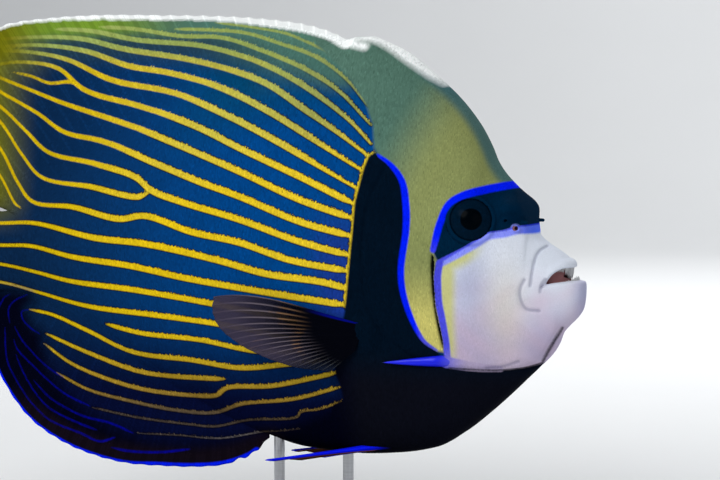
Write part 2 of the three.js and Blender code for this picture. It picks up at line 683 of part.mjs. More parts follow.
add("head", largest(head), MATERIALS.faceSkin);
add("upper_jaw", largest(upperJaw.add(teeth(MOUTH.upperFrontS, upperLine, -1, 13))), MATERIALS.lipSkin);
add("lower_jaw", largest(lowerJaw.add(teeth(MOUTH.lowerFrontS, lowerLine, 1, 15))), MATERIALS.lipSkin);
add("trunk", trunk, MATERIALS.flankSkin);
add("tail_root", tailRoot, MATERIALS.flankSkin);
add("dorsal_fin", largest(dorsalFin().subtract(cutter)), MATERIALS.backFin);
add("anal_fin", largest(analFin().subtract(cutter)), MATERIALS.analFin);
add("tail_fin", largest(tailFin().subtract(cutter)), MATERIALS.tailFin);
for (const [name, side] of SIDES) {
  const breast = breastFin(side).subtract(cutter).subtract(arm(side, CLEAR));
  add("eye_" + name, eyeBall(side), MATERIALS.eye);
  add("breast_fin_" + name, largest(breast), MATERIALS.breastFin);
  add("belly_fin_" + name, largest(bellyFin(side).subtract(cutter)), MATERIALS.bellyFin);
  add("cheek_spine_" + name, largest(cheekSpine(side).subtract(cutter)), MATERIALS.spineBlue);
}
add("stand_base", standBase(), MATERIALS.baseWood);
for (const { name, x } of RODS) add(name, standRod(x, skin), MATERIALS.rodSteel);

export default fish;
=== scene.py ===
# The looks of an adult emperor angelfish on its display stand: skin, scales, fins, eyes and teeth with
# their materials, then the floor, the light and the camera. Places on the fish are in millimetres:
# s behind the snout, y out from the middle plane and z over the mouth. Meshes are written in metres.
import itertools
import math

import bpy
import numpy as np
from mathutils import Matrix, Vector


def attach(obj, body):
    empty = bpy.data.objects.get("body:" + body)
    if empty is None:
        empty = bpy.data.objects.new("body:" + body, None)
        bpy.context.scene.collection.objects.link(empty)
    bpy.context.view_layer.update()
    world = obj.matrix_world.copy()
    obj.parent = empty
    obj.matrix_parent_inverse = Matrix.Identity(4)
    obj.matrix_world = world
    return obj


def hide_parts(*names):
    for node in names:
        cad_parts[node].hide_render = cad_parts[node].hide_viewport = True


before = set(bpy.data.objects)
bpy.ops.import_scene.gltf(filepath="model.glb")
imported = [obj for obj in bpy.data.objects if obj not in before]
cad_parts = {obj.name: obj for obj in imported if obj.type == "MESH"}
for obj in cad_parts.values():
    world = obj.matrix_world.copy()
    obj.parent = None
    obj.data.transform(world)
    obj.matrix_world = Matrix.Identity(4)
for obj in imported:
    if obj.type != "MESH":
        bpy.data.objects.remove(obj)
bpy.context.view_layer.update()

MM = 0.001
SNOUT_X = 135
MOUTH_Z = 134
rng = np.random.default_rng(7)

# Outlines of the fish without its fins, as [s, z], and its sections' sizes, as [s, size]
BACK = [
    [0, 3], [2.9, 7], [4.6, 9.4], [6.3, 11.6], [8.4, 13.9], [12.2, 16.6], [16.4, 19.2], [21, 22.6],
    [23.2, 26], [24, 31], [25.6, 36.2], [28.8, 41], [32.9, 45.4], [38.3, 51.6], [42, 57.3], [44.9, 64],
    [49.4, 72.3], [59.1, 84.4], [70.4, 94.6], [82.9, 104.4], [93.6, 109.4], [98.5, 111.2], [105, 111.1],
    [112, 109.9], [135, 107], [160, 100], [190, 86], [220, 67], [250, 46.5], [278, 32.5], [291, 29.8],
    [305, 30.5],
]
BELLY = [
    [0, -4], [1.3, -9.7], [3.8, -13.4], [7.2, -16.8], [9.9, -20], [12, -25], [15, -29.8], [21.2, -36],
    [42.5, -56], [55, -66], [67, -73], [84, -76.5], [105, -78], [130, -76.5], [155, -70], [190, -55],
    [220, -38.5], [250, -22], [278, -9.8], [291, -8.8], [305, -9.5],
]
LEVEL = [[0, 0], [20, -2], [46, 10], [100, 14], [200, 14], [305, 11]]
HALF_WIDTH = [
    [0, 3.2], [2, 7], [5, 9.6], [10, 12], [16, 14.2], [24, 16.8], [34, 20.5], [46, 24], [62, 27],
    [80, 28.8], [100, 29.6], [125, 29], [150, 27], [180, 23], [210, 18.4], [240, 13.4], [270, 9.2],
    [290, 7.2], [305, 3],
]
FULL_ABOVE = [
    [0, 2], [15, 2.2], [24, 2.6], [30, 2.5], [38, 2.1], [46, 2.2], [62, 2.1], [90, 1.8], [140, 1.6],
    [260, 1.5], [305, 2],
]
FULL_BELOW = [[0, 2.2], [20, 2.4], [45, 2.5], [80, 2.3], [120, 2], [170, 1.7], [260, 1.6], [305, 2]]
# Gentle swellings of the flank: s, z, how far they rise, and their reach along s and z
SWELLINGS = {
    "brow": (27.2, 35.4, 9, 7.5, 5),
    "round the eye": (47, 30, 1.6, 13, 13),
    "cheek": (44, -10, 1.6, 14, 15),
    "gill cover": (78, 4, 1.2, 13, 24),
}
EYE = {"s": 45.4, "z": 30.2, "radius": 11.2, "depth": 7.5, "proud": 3.1, "ring": 9.8, "rim": 1.1}
MOUTH = {"corner": 17, "half_width": 12.3, "upper_front": 5, "lower_front": 2.2}
UPPER_LINE = [
    [-6, 8.6], [3, 8.9], [5, 9.4], [7.4, 9.4], [9.5, 8.7], [10.8, 8], [12.5, 6.7], [14.1, 4.9],
    [15.6, 2.6], [17, 0.8],
]
LOWER_LINE = [[-6, 2.8], [0, 2.8], [3.1, 2.8], [6.8, 2.5], [10, 2.2], [12.8, 1.8], [14.8, 1], [17, 0.4]]
ARM = {"s": 94.5, "z": -22, "radius": 8.6, "depth": 2.3, "sunk": 0.9}
SIDES = {"right": -1, "left": 1}


def through(points):
    """The smooth curve through [x, y] points that never overshoots between them."""
    x, y = np.array(points, float).T
    slope = np.diff(y) / np.diff(x)
    tangent = np.concatenate([slope[:1], np.zeros(len(x) - 2), slope[-1:]])
    before, after = slope[:-1], slope[1:]
    same = before * after > 0
    tangent[1:-1][same] = (2 * before * after)[same] / (before + after)[same]

    def curve(at):
        at = np.asarray(at, float)
        i = np.clip(np.searchsorted(x, at) - 1, 0, len(x) - 2)
        span = x[i + 1] - x[i]
        t = np.clip((at - x[i]) / span, 0, 1)
        h = t * t * (3 - 2 * t)
        rise = t * (1 - t) ** 2 * span * tangent[i] - t * t * (1 - t) * span * tangent[i + 1]
        return y[i] * (1 - h) + y[i + 1] * h + rise

    return curve


back, belly, level = through(BACK), through(BELLY), through(LEVEL)
half_width, full_above, full_below = through(HALF_WIDTH), through(FULL_ABOVE), through(FULL_BELOW)
upper_line, lower_line = through(UPPER_LINE), through(LOWER_LINE)


def step(low, high, value):
    """0 below low, 1 above high and smooth between them; the two may be given the other way round."""
    t = np.clip((value - low) / (high - low), 0, 1)
    return t * t * (3 - 2 * t)


def unit(vectors):
    """Vectors at length one."""
    return vectors / np.maximum(np.linalg.norm(vectors, axis=-1, keepdims=True), 1e-9)


def arc_of(line):
    """The length along a line up to each of its points."""
    return np.concatenate([[0], np.cumsum(np.linalg.norm(np.diff(line, axis=0), axis=1))])


def section(s, z):
    """The place's share of the way from the widest level to the outline, and the section's fullness."""
    mid = level(s)
    above = z > mid
    share = np.where(above, (z - mid) / (back(s) - mid), (mid - z) / (mid - belly(s)))
    return share, np.where(above, full_above(s), full_below(s))


def patch(s, z, at_s, at_z, reach_s, reach_z):
    """A soft oval patch, 1 in its middle."""
    return np.exp(-(((s - at_s) / reach_s) ** 2) - ((z - at_z) / reach_z) ** 2)


def swelling(s, z):
    """How far all the swellings together raise the flank."""
    rise = 0
    for at_s, at_z, high, reach_s, reach_z in SWELLINGS.values():
        rise = rise + high * patch(s, z, at_s, at_z, reach_s, reach_z)
    return rise


def flank(s, z):
    """The flesh's half thickness at s and z, 0 on its outline and outside it."""
    share, full = section(s, z)
    y = half_width(s) * np.maximum(0, 1 - share**full) ** (1 / full)
    return y + np.minimum(1, y / 6) * swelling(s, z)


def outward(s, z, reach=1.5):
    """The right flank's outward direction, with y counted outwards."""
    along_s = (flank(s + reach, z) - flank(s - reach, z)) / (2 * reach)
    along_z = (flank(s, z + reach) - flank(s, z - reach)) / (2 * reach)
    return unit(np.array([-along_s, 1, -along_z]))


def on_flank(s, z, sunk=0):
    """The place on the right flank at s and z, with y counted outwards, or a little under the skin."""
    return np.array([s, float(flank(s, z)) - sunk, z])


SPACING = 0.6
SPAN_POINTS = 24


def smooth(places, spacing=SPACING):
    """A centripetal curve through places, as points at even spacing along it."""
    p = np.array(places, float)
    p = np.vstack([2 * p[0] - p[1], p, 2 * p[-1] - p[-2]])
    knot = np.concatenate([[0], np.cumsum(np.sqrt(np.linalg.norm(np.diff(p, axis=0), axis=1)))])
    dense = []
    for i in range(1, len(p) - 2):
        t = np.linspace(knot[i], knot[i + 1], SPAN_POINTS, endpoint=False)[:, None]
        k = knot[i - 1 : i + 3]
        q = p[i - 1 : i + 3]
        a = [(q[j] * (k[j + 1] - t) + q[j + 1] * (t - k[j])) / (k[j + 1] - k[j]) for j in range(3)]
        b = [(a[j] * (k[j + 2] - t) + a[j + 1] * (t - k[j])) / (k[j + 2] - k[j]) for j in range(2)]
        dense.append((b[0] * (k[2] - t) + b[1] * (t - k[1])) / (k[2] - k[1]))
    dense = np.vstack(dense + [p[-2:-1]])
    length = arc_of(dense)
    return along(dense, length, np.linspace(0, 1, max(2, int(length[-1] / spacing) + 1)))


def along(line, length, share):
    """The points of a line at shares of its whole length."""
    at = np.clip(share, 0, 1) * length[-1]
    return np.stack([np.interp(at, length, line[:, k]) for k in range(line.shape[1])], -1)


def margin(places):
    """A fin's margin through [s, z] places, read by its share of the whole length."""
    line = smooth(places, 0.2)
    length = arc_of(line)
    return lambda share: along(line, length, share)


# The camera: its turn, its height, how far away it is, and what it aims at, as the photo was taken
CAMERA = {"turn": 20, "rise": 3, "away": 950, "lens": 104.5, "sensor": 36, "aim": (29.703, 0, 153.157)}
WIDTH, HEIGHT = 720, 480
turn, rise = math.radians(CAMERA["turn"]), math.radians(CAMERA["rise"])
BACKWARD = np.array([math.sin(turn) * math.cos(rise), -math.cos(turn) * math.cos(rise), math.sin(rise)])
RIGHTWARD = np.array([math.cos(turn), math.sin(turn), 0])
UPWARD = np.cross(BACKWARD, RIGHTWARD)
EYE_POINT = np.array(CAMERA["aim"]) + CAMERA["away"] * BACKWARD
FOCAL = CAMERA["lens"] / CAMERA["sensor"] * WIDTH
FIRST_DEPTH = 20.0
DEPTH_ROUNDS = 12


def seen(pixels):
    """The [s, z] places on the right flank, or in the middle plane past its outline, behind pixels."""
    x, y = np.array(pixels, float).T
    ray = (x - WIDTH / 2)[:, None] * RIGHTWARD + (HEIGHT / 2 - y)[:, None] * UPWARD - FOCAL * BACKWARD
    depth = np.full(len(x), FIRST_DEPTH)
    for _ in range(DEPTH_ROUNDS):
        reach = (-depth - EYE_POINT[1]) / ray[:, 1]
        place = EYE_POINT + reach[:, None] * ray
        s, z = SNOUT_X - place[:, 0], place[:, 2] - MOUTH_Z
        depth = 0.5 * depth + 0.5 * flank(s, z)
    return np.stack([s, z], -1)


def traced(pixels):
    """The smooth line over the fish behind pixels."""
    return smooth(seen(pixels))


# Fins. Each has its rays, its root and its margin, as in the solids.
DORSAL = {"rays": 33, "spines": 14, "front": 110, "rear": 279}
DORSAL_EDGE = margin([
    [110, 109.6], [121, 114.4], [135, 118], [160, 121], [185, 122.4], [210, 123], [236, 123.5],
    [263, 122.6], [288, 119.8], [305, 112.5], [316, 99], [320, 81], [317, 61], [308.5, 43], [296, 33.5],
    [283, 33],
])
DORSAL_FAN = through([
    [0, 0], [0.25, 0.17], [0.5, 0.38], [0.75, 0.585], [0.9, 0.73], [0.96, 0.86], [1, 1],
])
ANAL = {"rays": 23, "spines": 3, "front": 151, "rear": 278}
ANAL_EDGE = margin([
    [150, -73.5], [158, -81.5], [172, -87.2], [187, -89.3], [205, -89.8], [224, -89.4], [240, -86.6],
    [256, -81.5], [274, -71.6], [286.5, -58.5], [295.5, -43], [299, -29], [298, -15], [292, -6.5],
    [283, -5.5],
])
ANAL_FAN = through([[0, 0], [0.15, 0.12], [0.5, 0.42], [0.75, 0.62], [0.9, 0.78], [1, 1]])
TAIL = {"rays": 17, "spines": 0, "root": 299, "low": -6.5, "high": 27.5}
TAIL_EDGE = margin([
    [309, 33.5], [324, 42], [341, 48], [352, 43.5], [359.5, 29.5], [363, 10.5], [359.5, -8.5],
    [352, -22.5], [341, -27], [324, -21], [309, -12.5],
])

# Marks, as pixels read off the photo. A stripe's first point is its rear end.
STRIPES = [
    [(215, 22.5), (244, 26), (286, 33.5), (310, 43), (336, 56.5), (357, 72), (365, 80)],
    [(175, 29), (212, 30), (246, 33), (282, 44), (318, 58), (347, 80), (368, 106)],
    [(100, 27), (135, 29), (181, 36), (224, 38), (267, 52), (307, 70), (341, 93), (371, 125)],
    [(55, 29), (92, 31), (138, 40), (203, 46), (246, 57), (282, 73), (319, 96), (351, 122), (371, 144)],
    [(-10, 40), (38, 37), (83, 39), (125, 49), (187, 59), (229, 69), (267, 84), (304, 109), (341, 135),
     (367, 155)],
    [(-30, 50), (34, 45), (86, 51), (130, 66), (171, 73), (226, 90), (273, 114), (328, 149), (361, 170)],
    [(-45, 55), (15, 51), (66, 59), (113, 80), (176, 93), (230, 117), (276, 141), (317, 165), (356, 188)],
    [(-8, 66), (15, 62), (58, 68), (86, 90), (141, 106), (197, 127), (243, 150), (300, 177), (352, 203)],
    [(12, 72), (31, 76), (50, 83), (70, 82), (78, 85)],
    [(-60, 62), (-20, 68), (1, 78), (31, 90), (64, 103), (119, 121), (178, 145), (240, 172), (300, 200),
     (351, 218)],
    [(-66, 74), (-25, 78), (6, 95), (38, 113), (66, 132), (104, 141), (161, 166), (202, 183), (240, 197),
     (300, 222), (350, 236)],
    [(-70, 88), (-30, 88), (1, 107), (28, 132), (50, 152), (95, 163), (135, 177), (152, 191), (184, 203),
     (240, 220), (300, 242), (348, 255)],
    [(-72, 106), (-30, 98), (0, 121), (23, 154), (44, 177), (92, 187), (138, 197), (148, 193)],
    [(-74, 128), (-30, 118), (0, 147), (20, 183), (35, 201), (73, 207), (119, 219), (145, 216),
     (191, 232), (240, 243), (289, 260), (347, 271)],
    [(-74, 150), (-35, 138), (0, 174), (17, 203), (22, 208)],
    [(-62, 213), (-40, 222), (0, 223), (34, 223), (95, 238), (145, 244), (216, 260), (266, 274),
     (321, 282), (349, 289)],
    [(-62, 240), (0, 245), (31, 246), (73, 257), (130, 266), (184, 278), (257, 291), (344, 305)],
    [(-62, 258), (0, 264), (36, 272), (70, 281), (134, 290), (213, 304), (300, 322)],
    [(-62, 276), (0, 282), (38, 292), (87, 306), (153, 315), (217, 324), (290, 338)],
    [(106, 324), (140, 333), (200, 340), (254, 351), (300, 352)],
    [(31, 309), (54, 314), (92, 331), (130, 351), (191, 360), (241, 368), (289, 364), (322, 361)],
    [(47, 333), (92, 353), (147, 372), (199, 378), (224, 379)],
    [(45, 343), (71, 362), (102, 376), (146, 389), (199, 396), (217, 395), (227, 388), (272, 386),
     (336, 373)],
    [(57, 372), (89, 389), (129, 400), (179, 410), (216, 412), (242, 404), (294, 399), (340, 387)],
    [(93, 407), (138, 417), (191, 424), (216, 426), (249, 420), (297, 417), (301, 412), (320, 409),
     (342, 401)],
    [(138, 433), (179, 435), (220, 438), (260, 432), (300, 429)],
]
STRIPE_HALF = [
    0.55, 0.75, 0.9, 1.1, 1.25, 1.3, 1.3, 1.3, 1.05, 1.3, 1.3, 1.3, 1.2, 1.3, 1.05, 1.35, 1.3, 1.2,
    1.1, 1, 1.05, 1, 0.9, 0.7, 0.4, 0.22,
]
UPPER_STRIPES = 7
CLOSING_BAR = [
    (375, 152), (369, 156), (364, 168), (359, 186), (355, 202), (352, 235), (350, 254), (347, 288),
    (345, 309),
]
SHOULDER_LINE = [
    (378, 155), (391, 165), (402, 181), (406, 205), (406, 230), (401, 270), (403, 292), (412, 320),
    (424, 341), (437, 350.5),
]
MASK_RIM = [(517, 184), (488, 189), (461, 196.5), (449, 204.5), (440, 223), (433, 250)]
MASK_TOP_LINE = [(525, 182), *MASK_RIM]
MASK_LOW_RIM = [(540, 229), (520, 230), (504, 234), (489, 236.5), (477, 244), (461, 253), (440, 264)]
MASK_LOW_LINE = [(552, 227), *MASK_LOW_RIM]
MASK_LOW_EDGE = [
    (546, 223), (530, 225), (520, 226.5), (504, 230.5), (489, 233), (477, 240.5), (461, 249.5),
    (442, 260),
]
CHEEK_LINE = [
    (440, 263), (438, 276), (438.2, 291), (439.5, 305), (441.6, 315), (443.8, 327), (446, 339),
    (447.2, 349), (448, 358),
]
SPINE_LINE = [(446, 362), (462, 365), (480, 367.5), (500, 369)]
GILL_EDGE = [
    (434, 256), (434.6, 265), (434, 275), (434.8, 291), (435.8, 305), (437.5, 315), (439.8, 325),
    (442, 335), (443.6, 345), (443.5, 351),
]
GILL_GAP = [
    (442, 348), (439.4, 338), (436.6, 325), (434, 311), (432.6, 301), (431.4, 291), (430.6, 277),
    (430.2, 265), (431, 254),
]
PLATE_REAR = [(446, 339), (441, 307), (437.5, 283)]
CHIN_LINE = [(541, 364), (524, 368), (508, 370), (489, 370.5), (449, 368.5)]
ANAL_LINES = [
    [(11, 294), (5, 297), (0, 305), (-6, 318)],
    [(29, 294), (15, 301), (9, 309), (10, 323)],
    [(31, 309), (23, 311.5), (24, 319), (31, 327), (41.5, 334)],
    [(15, 326), (22, 339), (33, 352), (50, 368), (65, 377.6)],
    [(14, 339), (17, 348), (34, 366), (49, 380), (65, 393), (91, 406)],
    [(16, 354), (22, 369), (34, 390), (49, 407), (71, 419), (98, 430)],
    [(5, 327), (7, 360), (17, 381), (33, 404), (51, 420), (82, 433), (101, 441), (116, 437)],
    [(34, 380), (49, 396), (65, 406.6), (85, 416), (112, 423), (134, 433)],
    [(112, 447), (127.5, 450.5), (160, 452), (190, 449)],
    [(-12, 300), (-16, 330), (-12, 362), (2, 390), (20, 410)],
]
# Folds of the cheek and jaws: their pixels, how deep and how wide they are
FOLDS = {
    "jaw": ([(546, 246.5), (539.5, 250.5), (535.5, 257), (533, 266), (531, 277), (530, 286)], 0.8, 0.6),
    "lobe": ([(524, 280), (520, 288), (520, 298), (526, 309), (539, 311)], 0.8, 0.9),
    "mouth": ([(545, 279), (541, 285), (540, 292)], 0.6, 0.5),
    "throat": ([(561, 328), (550, 346), (541, 363.5)], 1.5, 0.8),
    "cheek": ([(449, 368.5), (489, 370.5), (508, 370), (524, 368), (541, 363.5)], 1.1, 0.8),
    "low cheek": ([(486, 368), (504, 366), (518.6, 361.5)], 0.4, 0.5),
}
# Folds with soft painted shade along their grooves
SHADED_FOLDS = ("jaw", "lobe", "mouth", "low cheek")
# Folds with a dark line of painted shadow along them
SHADOW_FOLDS = ("throat", "cheek")
BAND_ZONE = [
    (300, 22), (318, 46), (337, 64), (352, 82), (366, 104), (373, 126), (374, 148), *SHOULDER_LINE,
    (444, 352), *PLATE_REAR, (440, 264), *MASK_RIM[::-1], (545, 170), (600, 60), (420, -60), (300, -60),
]
MASK_ZONE = [*MASK_RIM[::-1], (545, 178), (600, 190), (600, 222), *MASK_LOW_RIM]
FACE_ZONE = [
    *MASK_LOW_RIM[::-1], (600, 222), (650, 280), (620, 345), (573, 352), *CHIN_LINE, (447, 357),
    *PLATE_REAR,
]
DARK_ZONE = [
    (378, 152), *CLOSING_BAR[1:], (341, 332), (337, 352), (335, 372), (341, 387), (344, 400),
    (326, 408), (306, 417), (285, 425), (240, 438), (190, 444), (150, 441), (115, 428), (88, 412),
    (66, 392), (52, 372), (44, 345), (44, 334), (32, 322), (28, 309), (36, 300), (30, 292),
    (14, 289), (0, 289), (-30, 284), (-90, 280), (-90, 560), (640, 560), (600, 400), *CHIN_LINE,
    *SHOULDER_LINE[:0:-1],
]
# A painted highlight of sunlight along the nape's ridge, in the margin's white: its pixels and half
# widths in mm
NAPE_HIGHLIGHT = [(356, 39.5), (370, 37.5), (386, 40), (401, 47), (416, 58), (431, 70), (447, 84)]
NAPE_HIGHLIGHT_HALF = [1.2, 2, 3, 3.4, 3, 2.2, 0.6]
FIN_BAR = [(336, 38), (350, 42.5), (365, 46.5)]
FIN_BAR_HALF = 1.7
MASK_LOW_HALF = [1.9, 1.7, 1.5, 1.4, 1.5, 1.5]
# Blue lines: their pixels, and their half widths in mm at even steps along them
BLUES = {
    "shoulder": (SHOULDER_LINE, [0.6, 1.2, 1.55, 1.6, 1.5, 1.45, 1.4, 1.3, 1.0, 0.4]),
    "mask": (MASK_TOP_LINE, [1.7, 1.8, 1.8, 1.7, 1.6, 1.6, 1.3]),
    "cheek": (CHEEK_LINE, [1.5, 1.65, 1.6, 1.6, 1.5, 1.4]),
    "spine": (SPINE_LINE, [2.6, 2.3, 1.8, 1.2]),
    "under the mask": (MASK_LOW_EDGE, [0.1, 0.15, 0.2, 0.1, 0.2, 0.3, 0.5, 0.8]),
}


def colour(red, green, blue):
    """A linear colour from the usual 0 to 255 values."""
    c = np.array([red, green, blue]) / 255
    return np.where(c <= 0.04045, c / 12.92, ((c + 0.055) / 1.055) ** 2.4)


PAINT = {name: colour(*levels) for name, levels in {
    # The ground's darker colours towards the tail, the belly and the top of the back are painted shade
    "blue flank": (2, 68, 134), "violet flank": (34, 46, 146), "painted shade rear": (11, 38, 70),
    "painted shade belly": (6, 13, 48), "painted shade back": (4, 66, 102), "nape green": (80, 118, 104),
    "margin green": (110, 142, 44), "margin teal": (86, 128, 110), "rear olive": (104, 104, 14),
    "gold": (226, 192, 22), "orange gold": (160, 128, 44), "pale gold": (192, 184, 78),
    "green gold": (150, 166, 88), "dull gold": (136, 146, 84), "dim gold": (78, 68, 58),
    "shoulder black": (3, 17, 32), "breast black": (13, 15, 25), "navy": (2, 3, 22),
    "olive": (140, 148, 92), "teal band": (82, 116, 102), "yellow band": (206, 198, 112),
    "rim teal": (52, 100, 112), "mask": (1, 33, 58), "white face": (220, 226, 238),
    # In the next line, the blue tint of the face is painted shade on the front of the snout
    "lilac face": (180, 166, 198), "yellow face": (200, 200, 112), "painted shade snout": (120, 130, 190),
    "pink face": (210, 186, 206), "cream face": (224, 216, 202), "shaded face": (164, 168, 204),
    # In the next line, the grey-mauve of the folds is painted shade and the near-black of the gill gap is
    # painted shadow
    "violet line": (78, 80, 226), "gap": (12, 16, 14), "fold_shade": (98, 100, 132), "blue line": (2, 30, 248),
    "pale line": (142, 152, 252), "deep line": (3, 5, 140), "front gold": (228, 198, 44),
    "rear gold": (208, 176, 10), "tip grey": (120, 116, 118), "fin teal": (42, 66, 74),
    "fin green": (72, 112, 102), "anal black": (3, 4, 20), "anal brown": (24, 16, 21),
    "bright rim": (64, 104, 252), "margin": (246, 249, 248), "gums": (132, 90, 92),
    "tail gold": (232, 176, 8), "fin foot": (4, 5, 12), "fin smoke": (62, 56, 74),
    "low smoke": (20, 27, 44), "grey ray": (118, 108, 116), "tan ray": (164, 126, 92),
    "dull ray": (62, 64, 66), "fin blue": (4, 12, 120), "belly fin": (14, 10, 22),
    "brown ray": (120, 68, 38), "edge blue": (8, 22, 236), "belly foot": (10, 11, 20),
    "spine dark": (2, 10, 190), "spine blue": (10, 30, 255), "spine tip": (3, 6, 40),
    "iris dark": (0, 14, 28), "iris blue": (2, 26, 46), "iris rim": (1, 9, 18), "eye ring": (40, 74, 110),
    "pupil": (0, 3, 7), "tooth": (206, 208, 210), "tooth grey": (168, 168, 172), "walnut": (54, 34, 22),
    "light walnut": (104, 70, 44), "wood pore": (24, 15, 10), "steel": (150, 152, 156),
    "bright steel": (196, 198, 202),
}.items()}

# The marks are drawn once on a fine grid over s and z, and every mesh reads them from there
GRID = 0.5
MAP_S = np.arange(-14, 376, GRID)
MAP_Z = np.arange(-98, 134, GRID)
FAR = 8.0


def line_map(lines, halves, far=FAR):
    """How far each place is from the edge of the nearest line, in mm, below 0 inside a line."""
    near = np.full((len(MAP_S), len(MAP_Z)), far)
    for line, half in zip(lines, halves):
        size = np.broadcast_to(half, len(line))
        for a, b, wide in zip(line[:-1], line[1:], size):
            low, high = np.minimum(a, b) - far, np.maximum(a, b) + far
            i = slice(*np.searchsorted(MAP_S, [low[0], high[0]]))
            j = slice(*np.searchsorted(MAP_Z, [low[1], high[1]]))
            ds, dz = MAP_S[i][:, None] - a[0], MAP_Z[j][None, :] - a[1]
            run = b - a
            t = np.clip((ds * run[0] + dz * run[1]) / max(run @ run, 1e-9), 0, 1)
            away = np.hypot(ds - t * run[0], dz - t * run[1]) - wide
            near[i, j] = np.minimum(near[i, j], away)
    return near


def zone_map(outline):
    """How far each place is from a zone's outline, below 0 inside it."""
    closed = np.vstack([outline, outline[:1]])
    inside = np.zeros((len(MAP_S), len(MAP_Z)), bool)
    for a, b in zip(closed[:-1], closed[1:]):
        crosses = (a[1] > MAP_Z) != (b[1] > MAP_Z)
        at = a[0] + (MAP_Z - a[1]) / (b[1] - a[1] if b[1] != a[1] else 1) * (b[0] - a[0])
        inside ^= crosses[None, :] & (MAP_S[:, None] < at[None, :])
    away = line_map([closed], [0])
    return np.where(inside, -away, away)


def read(chart, s, z):
    """A map's values at places, taken between its grid's points."""
    i = np.clip((s - MAP_S[0]) / GRID, 0, len(MAP_S) - 1.001)
    j = np.clip((z - MAP_Z[0]) / GRID, 0, len(MAP_Z) - 1.001)
    a, b = i.astype(int), j.astype(int)
    u, v = (i - a), (j - b)
    if chart.ndim == 3:
        u, v = u[..., None], v[..., None]
    return (chart[a, b] * (1 - u) + chart[a + 1, b] * u) * (1 - v) + (
        chart[a, b + 1] * (1 - u) + chart[a + 1, b + 1] * u
    ) * v


def tapered(line, half, tip=5, front=5):
    """A line's half width, narrower towards its two ends and over the rear of the body."""
    arc = np.arange(len(line)) * SPACING
    from_end = np.minimum(arc / tip, arc[::-1] / front)
    rear = 1 - 0.4 * step(222, 284, line[:, 0])
    return half * rear * np.clip(0.35 + 0.65 * from_end, 0, 1)


def widths(line, sizes):
    """A line's half width, read from sizes at even steps along it."""
    return np.interp(np.linspace(0, 1, len(line)), np.linspace(0, 1, len(sizes)), sizes)


def blended(base, *layers):
    """A colour over the whole map: each layer is a colour and how strongly it covers, from 0 to 1."""
    shade = np.broadcast_to(PAINT[base], (len(MAP_S), len(MAP_Z), 3)).copy()
    for tint, cover in layers:
        shade += (PAINT[tint] - shade) * cover[..., None]
    return shade


# Every map's place, how far it lies under the back and from the fins' margins, and what covers it
EDGE_REACH = 30
S, Z = np.meshgrid(MAP_S, MAP_Z, indexing="ij")
DEPTH = back(S) - Z
ANAL_RIM = ANAL_EDGE(np.linspace(0, 1, 400))
FROM_DORSAL_EDGE = line_map([DORSAL_EDGE(np.linspace(0, 1, 500))], [0], EDGE_REACH)
FROM_ANAL_EDGE = line_map([ANAL_RIM], [0], EDGE_REACH)
DARK = zone_map(seen(DARK_ZONE))
FADED = np.clip(step(34, 4, DEPTH) * step(200, 140, S), 0, 1)
DORSAL_CORNER = step(258, 292, S) * step(84, 106, Z)
IN_DORSAL = step(28, 12, FROM_DORSAL_EDGE) * step(72, 92, Z)
PAST_ROOT = S - TAIL["root"]
AT_TAIL = step(-2, 4, PAST_ROOT + 0.35 * np.minimum(Z + 6, 0) + np.sin(0.9 * Z)) * step(
    2.5, -2.5, Z - 32 - 0.65 * PAST_ROOT
)


def stripe_map():
    """The yellow stripes and the bar that closes them in front. The upper stripes thin out forwards."""
    lines, closing = [traced(p) for p in STRIPES], traced(CLOSING_BAR)
    fronts = [36 if k < UPPER_STRIPES else 5 for k in range(len(lines))]
    halves = [tapered(line, half, front=front) for line, half, front in zip(lines, STRIPE_HALF, fronts)]
    return line_map(lines + [closing], halves + [tapered(closing, 0.55, 2)])


def blue_map():
    """The blue lines of the head, and the blue margin of the anal fin."""
    s, z = ANAL_RIM.T
    outer = ANAL_RIM[((s > 176) | (z < -80)) & (z < -24)]
    lines = [traced(pixels) for pixels, _ in BLUES.values()]
    halves = [widths(line, sizes) for line, (_, sizes) in zip(lines, BLUES.values())]
    return line_map(lines + [outer], halves + [1.3 + 0.6 * step(224, 206, outer[:, 0])])


def pale_map():
    rim = traced(MASK_LOW_LINE)
    return line_map([rim], [widths(rim, MASK_LOW_HALF)])


def anal_map():
    lines = [traced(p) for p in ANAL_LINES]
    return line_map(lines, [tapered(line, 0.5) for line in lines])


def margin_map():
    """The dorsal fin's white margin, broad in front, and at its front end a white bar and a painted
    highlight on the nape.
    """
    nape, bar = traced(NAPE_HIGHLIGHT), traced(FIN_BAR)
    nape_marks = line_map([nape, bar], [widths(nape, NAPE_HIGHLIGHT_HALF), FIN_BAR_HALF]) * 0.6
    broad = 0.5 + 0.8 * step(280, 215, S) + 1.5 * step(185, 135, S)
    edge = FROM_DORSAL_EDGE - 0.6 - broad * step(92, 104, Z) + 3 * step(78, 60, Z)
    return np.minimum(edge, nape_marks)


def dark_map():
    """The black of the shoulder and breast. Farther back the ground's own shade takes over from it."""
    behind = np.maximum(step(-32, -42, Z) * step(110, 118, S), step(150, 156, S))
    return DARK + FAR * 2 * behind


